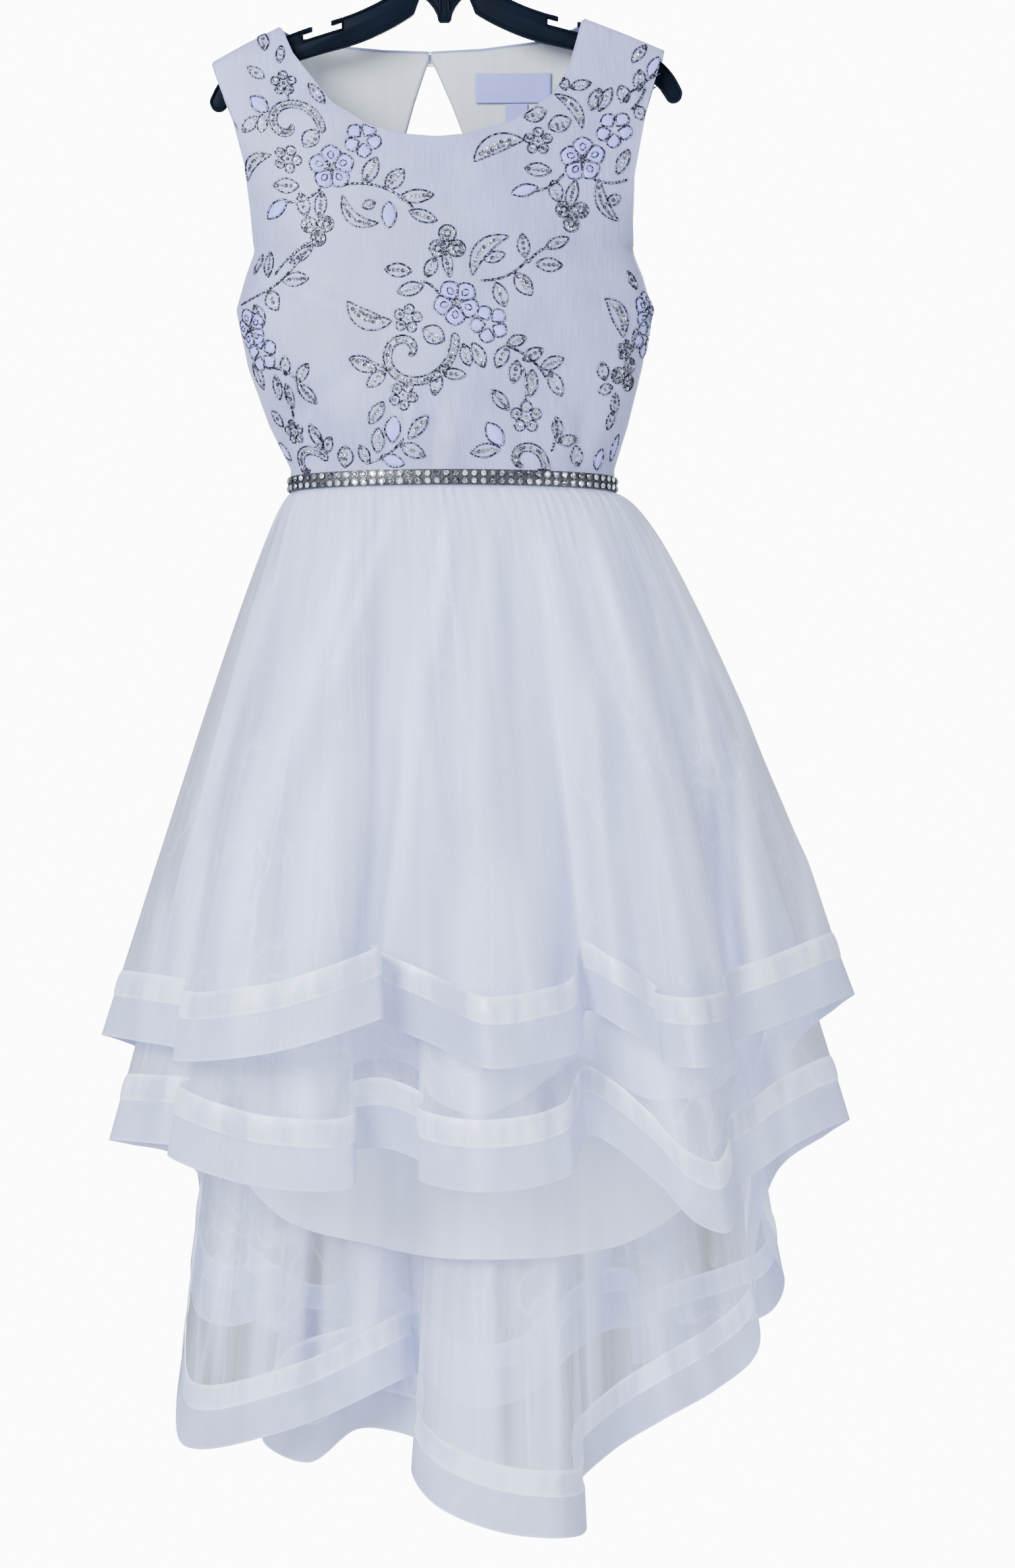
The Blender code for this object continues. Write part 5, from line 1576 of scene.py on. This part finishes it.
def arm_outline():
    """Half of the hanger's outline: round the lug, along the lower edge, round the tip and back on top."""
    line = np.array(ARM_LINE, float)
    along = distances(line[:, :2])
    route = placed(line, along, np.linspace(0, along[-1], 60))
    even = np.ones(7) / 7
    soft = np.stack([np.convolve(np.pad(column, 3, mode="reflect", reflect_type="odd"), even, "valid")
                     for column in route.T], axis=1)
    centre, half = soft[:, :2], soft[:, 2:]
    ahead = unit(np.gradient(centre, axis=0))
    rise = np.column_stack([-ahead[:, 1], ahead[:, 0]])
    lower, upper = centre - rise * half, (centre + rise * half)[::-1]
    tip = math.atan2(ahead[-1, 1], ahead[-1, 0])
    cap = [centre[-1] + half[-1] * np.array([math.cos(tip + t), math.sin(tip + t)])
           for t in np.radians(np.linspace(-80, 80, 13))]

    steps = ((NOTCH_MOUTH[0], 0), (NOTCH_MOUTH[0], BARB), (NOTCH[0], BARB), (NOTCH[0], NOTCH_DEPTH),
             (NOTCH[1], NOTCH_DEPTH), (NOTCH[1], BARB), (NOTCH_MOUTH[1], BARB), (NOTCH_MOUTH[1], 0))
    trough = [(x, float(np.interp(x, upper[::-1, 0], upper[::-1, 1])) - below) for x, below in steps]
    outline = [*LUG, *(p for p in lower if p[0] > LUG[-1][0] + 2), *cap]
    outline += [p for p in upper if p[0] > NOTCH_MOUTH[0] + 1] + trough
    outline += [p for p in upper if HUB[0][0] < p[0] < NOTCH_MOUTH[1] - 1]
    return np.array([(float(x), float(z)) for x, z in (*outline, *HUB)])


def moved_in(outline, distance):
    """The closed outline moved inwards, square to both edges at each corner."""
    ahead = unit(np.roll(outline, -1, axis=0) - outline)
    behind = np.roll(ahead, 1, axis=0)
    left = np.stack([-ahead[:, 1], ahead[:, 0]], axis=1)
    before = np.stack([-behind[:, 1], behind[:, 0]], axis=1)
    corner = left + before
    return outline + distance * corner / np.maximum((corner * left).sum(axis=1), 0.5)[:, None]


def build_hanger(settings):
    """The moulded body: a plate with a bead carried round both of its faces, and the ribs of its lug."""
    right = arm_outline()
    left = np.column_stack([-right[::-1, 0], right[::-1, 1]])
    outline = np.vstack([right, left])
    half = HANGER_THICKNESS / 2
    plate = half - settings.hanger_recess / MM
    bead = settings.hanger_rim / MM / 2
    section = ((0.9, plate), (0.27, plate - 0.27), (0, plate - 0.9))
    section = section + tuple((inset, -y) for inset, y in section[::-1])
    rings = np.stack([np.insert(moved_in(outline, inset), 1, -y, axis=1) for inset, y in section])
    count = len(outline)
    line = moved_in(outline, bead)
    parts = [(tilted(rings.reshape(-1, 3)), grid_faces(len(section), count, around=True))]
    profile = round_profile(bead, 8)
    for side in (-1.0, 1.0):
        path = np.insert(line, 1, side * (half - bead), axis=1)
        points, faces = carried(path, (0.0, side, 0.0), profile, closed=True)
        parts.append((tilted(points), faces))
    points, faces = merged(parts)
    caps = [np.arange(count)[None, :], (np.arange(count)[::-1] + (len(section) - 1) * count)[None, :]]
    plastic, wear = grained("moulded_plastic", 0.34, settings.hanger_colour, 0.7, 1.5, (30, 30, 30), 3.0)
    plastic.put("Roughness", plastic.span(wear, 0.40, 0.55, 0.3, 0.7))
    plastic.put("Specular IOR Level", 0.04)
    plastic.bump(plastic.noise(plastic.object_place(0.8, 0.8, 0.8), 2.0), 0.03, 0.5)
    piece = new_piece("hanger_moulding", points, [faces] + caps, [plastic.material], sharp=35)
    seat(piece, "hanger", "hanger_body")
    parts = []
    z = np.linspace(LUG[0][1] + 3, HUB[-1][1] - 2, 14)
    for x in (-RIB_X, RIB_X):
        for side in (-1.0, 1.0):
            path = np.column_stack([np.full_like(z, x), np.full_like(z, side * (plate - 0.2)), z])
            parts.append(carried(path, (0.0, side, 0.0), round_profile(RIB_RADIUS, 10)))
    points, faces = merged(parts)
    seat(new_piece("hanger_ribs", tilted(points), faces, [plastic.material]), "hanger")


def build_hook(settings):
    """The wire hook: a round section carried up out of the hub and round the crown, ends rounded."""
    centre_z = HOOK_WIRE / 2 - HOOK_RADIUS
    bend = [(HOOK_RADIUS * math.cos(t), centre_z + HOOK_RADIUS * math.sin(t))
            for t in np.radians(np.linspace(*HOOK_ARC, 73))]
    stem = along_outline([(0, HUB[-1][1] + SEAM), *HOOK_STEM, bend[0]], 24)
    route = np.vstack([stem[:-1], bend])
    smooth = route.copy()
    for _ in range(6):
        smooth[1:30] = (smooth[:29] + 2 * smooth[1:30] + smooth[2:31]) / 4
    path = np.column_stack([smooth[:, 0], np.zeros(len(smooth)), smooth[:, 1]])
    along = distances(path)
    size = np.sqrt(np.clip(1 - (1 - np.clip((along[-1] - along) / 1.8, 0, 1)) ** 2, 0.0004, 1))
    points, faces = carried(path, (0.0, -1.0, 0.0), round_profile(HOOK_WIRE / 2, 16), scale=size)
    wire, brushed = grained("hook_wire", 0.22, settings.wire_colour, 0.75, 1.2, (0.3, 0.3, 6), 3.0, 1.0)
    wire.put("Roughness", wire.span(brushed, 0.16, 0.34, 0.3, 0.7))
    seat(new_piece("wire_hook", tilted(points), faces, [wire.material]), "hook", "hanger_hook")


def build_closure(settings):
    """The covered button at the back neck and the thread loop round it."""
    x, z = BUTTON_PLACE
    lowest = z - BUTTON_RADIUS - 2
    y = bodice_surface(bodice_turn(x, lowest), lowest, back=True)[1] + WALL / 2 + SEAM
    rise = np.radians(np.linspace(-90, 90, 15))
    profile = np.stack([np.cos(rise) ** 0.7, 0.5 + 0.5 * np.sin(rise)], axis=1)
    around = np.linspace(0, 2 * math.pi, 32, endpoint=False)
    rings = np.stack([x + BUTTON_RADIUS * profile[:, :1] * np.cos(around),
                      y + BUTTON_HEIGHT * profile[:, 1:] + 0 * around,
                      z + BUTTON_RADIUS * profile[:, :1] * np.sin(around)], axis=2)
    cover = Finish("button_cover", 0.3)
    weave = cover.calc("MULTIPLY", cover.bands(cover.object_place(0.6, 0.6, 0.6), "X"),
                       cover.bands(cover.object_place(0.6, 0.6, 0.6), "Z"))
    cover.shade(weave, settings.button_colour, 0.85, 1)
    cover.put("Coat Weight", 0.3)
    cover.bump(weave, 0.12)
    piece = new_piece("back_button", rings.reshape(-1, 3),
                      grid_faces(len(profile), len(around), around=True), [cover.material])
    seat(piece, "button", "button")
    radius = BUTTON_RADIUS + LOOP_GAP
    turn = np.radians(np.linspace(40, 320, 48))
    bend = np.column_stack([x + radius * np.cos(turn), z + radius * np.sin(turn)])
    line = np.vstack([[(x + 12, z + 0.9)], [(x + 8, z + 1.2)], bend, [(x + 8, z - 1.2)], [(x + 12, z - 0.9)]])
    path = np.column_stack([line[:, 0], np.full(len(line), y + 1.0), line[:, 1]])
    points, faces = carried(path, (0.0, 1.0, 0.0), round_profile(LOOP_RADIUS, 8))
    thread = Finish("loop_thread", 0.5)
    twist = thread.bands(thread.object_place(0.8, 0.8, 0.8), "DIAGONAL")
    thread.shade(twist, settings.button_colour, 0.8, 1)
    thread.bump(twist, 0.2)
    seat(new_piece("thread_loop", points, faces, [thread.material]), "button", "button_loop")


def build_stage(settings):
    """A pale round floor, soft light from all round, three large lamps and the camera.

    The white that shows past the dress is dimmed where it is seen through net, as a backdrop is.
    """
    radius = np.linspace(0.02, FLOOR_RADIUS, 24)[:, None]
    around = np.linspace(0, 2 * math.pi, 96, endpoint=False)
    drop = -settings.floor_drop / MM
    rings = np.stack([radius * np.cos(around) + 1000 * CAMERA[0], radius * np.sin(around),
                      0 * radius + drop + 0 * around], axis=2)
    floor = grained("floor", 0.7, settings.floor_colour, 0.99, 1, (40, 40, 40), 3.0)[0]
    disc = new_piece("floor", rings.reshape(-1, 3), grid_faces(*rings.shape[:2], around=True),
                     [floor.material])

    world = bpy.data.worlds.new("studio")
    bpy.context.scene.world = world
    world.use_nodes = True
    tree = world.node_tree
    light = tree.nodes["Background"]
    light.inputs["Color"].default_value = SKY_COLOUR
    light.inputs["Strength"].default_value = settings.sky
    white = tree.nodes.new("ShaderNodeBackground")
    white.inputs["Color"].default_value = (1.0, 1.0, 1.0, 1.0)
    seen = tree.nodes.new("ShaderNodeLightPath")
    through = tree.nodes.new("ShaderNodeMapRange")
    through.inputs["To Min"].default_value = settings.backdrop
    through.inputs["To Max"].default_value = settings.behind
    tree.links.new(seen.outputs["Transparent Depth"], through.inputs["Value"])
    tree.links.new(through.outputs[0], white.inputs["Strength"])
    mix = tree.nodes.new("ShaderNodeMixShader")
    tree.links.new(seen.outputs["Is Camera Ray"], mix.inputs[0])
    tree.links.new(light.outputs[0], mix.inputs[1])
    tree.links.new(white.outputs[0], mix.inputs[2])
    tree.links.new(mix.outputs[0], tree.nodes["World Output"].inputs["Surface"])

    for name, x, y, z, size, share in LAMPS:
        lamp = bpy.data.lights.new(name, "AREA")
        lamp.shape = "DISK"
        lamp.size = size
        lamp.energy = settings.key * share
        lamp.color = LAMP_COLOUR
        holder = linked(name, lamp)
        holder.location = (x, y, z)
        aim = -np.array([x, y, z - LAMP_AIM_Z])
        holder.rotation_euler = (math.acos(-aim[2] / np.linalg.norm(aim)), 0,
                                 math.atan2(aim[1], aim[0]) - math.pi / 2)

    lens = bpy.data.cameras.new("camera")
    lens.sensor_fit = "VERTICAL"
    lens.sensor_height = SENSOR
    lens.lens = LENS
    lens.clip_end = VIEW_END
    camera = linked("camera", lens)
    camera.location = CAMERA
    camera.rotation_euler = (math.pi / 2, 0, 0)
    bpy.context.scene.camera = camera


def settings_of(context):
    """The scene's sizes and colours of the dress."""
    return context.scene.party_dress


class PartyDressSettings(bpy.types.PropertyGroup):
    """All the sizes and colours of the dress."""

    skirt: PointerProperty(type=SkirtSettings, name="Skirt", description="Nets, bands and lining")
    bodice: PointerProperty(type=BodiceSettings, name="Bodice", description="Cloth, lining and embroidery")
    trim: PointerProperty(type=TrimSettings, name="Trim", description="Belt, button and hanger")
    stage: PointerProperty(type=StageSettings, name="Stage", description="Floor and light")


class DRESS_OT_hanger(bpy.types.Operator):
    """Build the moulded hanger and its wire hook"""
    bl_idname = "dress.hanger"
    bl_label = "Hanger"

    def execute(self, context):
        build_hanger(settings_of(context).trim)
        build_hook(settings_of(context).trim)
        return {"FINISHED"}


class DRESS_OT_bodice(bpy.types.Operator):
    """Build the front and back panels of the bodice with their bound edges"""
    bl_idname = "dress.bodice"
    bl_label = "Bodice"

    def execute(self, context):
        build_bodice(settings_of(context).bodice)
        return {"FINISHED"}


class DRESS_OT_embroidery(bpy.types.Operator):
    """Sew the silver cord, sequins and filled petals on the bodice"""
    bl_idname = "dress.embroidery"
    bl_label = "Embroidery"

    def execute(self, context):
        build_embroidery(settings_of(context).bodice)
        return {"FINISHED"}


class DRESS_OT_back_lining(bpy.types.Operator):
    """Build the lining inside the back of the bodice"""
    bl_idname = "dress.back_lining"
    bl_label = "Back lining"

    def execute(self, context):
        build_back_lining(settings_of(context).bodice)
        return {"FINISHED"}


class DRESS_OT_labels(bpy.types.Operator):
    """Build the bare label and size tag"""
    bl_idname = "dress.labels"
    bl_label = "Labels"

    def execute(self, context):
        build_labels(settings_of(context).bodice)
        return {"FINISHED"}


class DRESS_OT_closure(bpy.types.Operator):
    """Build the button and its loop at the back neck"""
    bl_idname = "dress.closure"
    bl_label = "Button and loop"

    def execute(self, context):
        build_closure(settings_of(context).trim)
        return {"FINISHED"}


class DRESS_OT_belt(bpy.types.Operator):
    """Build the belt with its two rows of cut stones"""
    bl_idname = "dress.belt"
    bl_label = "Belt"

    def execute(self, context):
        build_belt(settings_of(context).trim)
        return {"FINISHED"}


class DRESS_OT_skirt_lining(bpy.types.Operator):
    """Build the skirt lining"""
    bl_idname = "dress.skirt_lining"
    bl_label = "Skirt lining"

    def execute(self, context):
        skirt_lining(settings_of(context).skirt)
        return {"FINISHED"}


class DRESS_OT_inner_net(bpy.types.Operator):
    """Build the inner net with its hem band"""
    bl_idname = "dress.inner_net"
    bl_label = "Inner net"

    def execute(self, context):
        net_layer("inner", INNER_FRONT, INNER_BACK, LAYER_STEP, 3, settings_of(context).skirt)
        return {"FINISHED"}


class DRESS_OT_outer_net(bpy.types.Operator):
    """Build the outer net with its hem band"""
    bl_idname = "dress.outer_net"
    bl_label = "Outer net"

    def execute(self, context):
        net_layer("outer", OUTER_FRONT, OUTER_BACK, 0.0, 11, settings_of(context).skirt)
        return {"FINISHED"}


class DRESS_OT_stage(bpy.types.Operator):
    """Build the floor, the light and the camera"""
    bl_idname = "dress.stage"
    bl_label = "Stage"

    def execute(self, context):
        build_stage(settings_of(context).stage)
        return {"FINISHED"}


OPERATORS = (
    DRESS_OT_stage, DRESS_OT_hanger, DRESS_OT_bodice, DRESS_OT_embroidery, DRESS_OT_back_lining,
    DRESS_OT_labels, DRESS_OT_closure, DRESS_OT_belt, DRESS_OT_skirt_lining, DRESS_OT_inner_net,
    DRESS_OT_outer_net,
)


class DRESS_PT_panel(bpy.types.Panel):
    """The operators and the settings in the sidebar"""
    bl_idname = "DRESS_PT_panel"
    bl_label = "Party dress"
    bl_space_type = "VIEW_3D"
    bl_region_type = "UI"
    bl_category = "Dress"

    def draw(self, context):
        for operator in OPERATORS:
            self.layout.operator(operator.bl_idname)
        for group in ("skirt", "bodice", "trim", "stage"):
            box = self.layout.box()
            values = getattr(settings_of(context), group)
            for key in values.__annotations__:
                box.prop(values, key)


CLASSES = (SkirtSettings, BodiceSettings, TrimSettings, StageSettings, PartyDressSettings,
           *OPERATORS, DRESS_PT_panel)


def register():
    """Adds the classes and the scene's settings."""
    for item in CLASSES:
        bpy.utils.register_class(item)
    bpy.types.Scene.party_dress = PointerProperty(type=PartyDressSettings, name="Party dress",
                                                  description="Sizes and colours of the dress")


def unregister():
    """Takes them out again."""
    del bpy.types.Scene.party_dress
    for item in reversed(CLASSES):
        bpy.utils.unregister_class(item)


def main():
    """Runs every operator in order."""
    register()
    for operator in OPERATORS:
        group, name = operator.bl_idname.split(".")
        getattr(getattr(bpy.ops, group), name)()


if __name__ == "__main__":
    main()
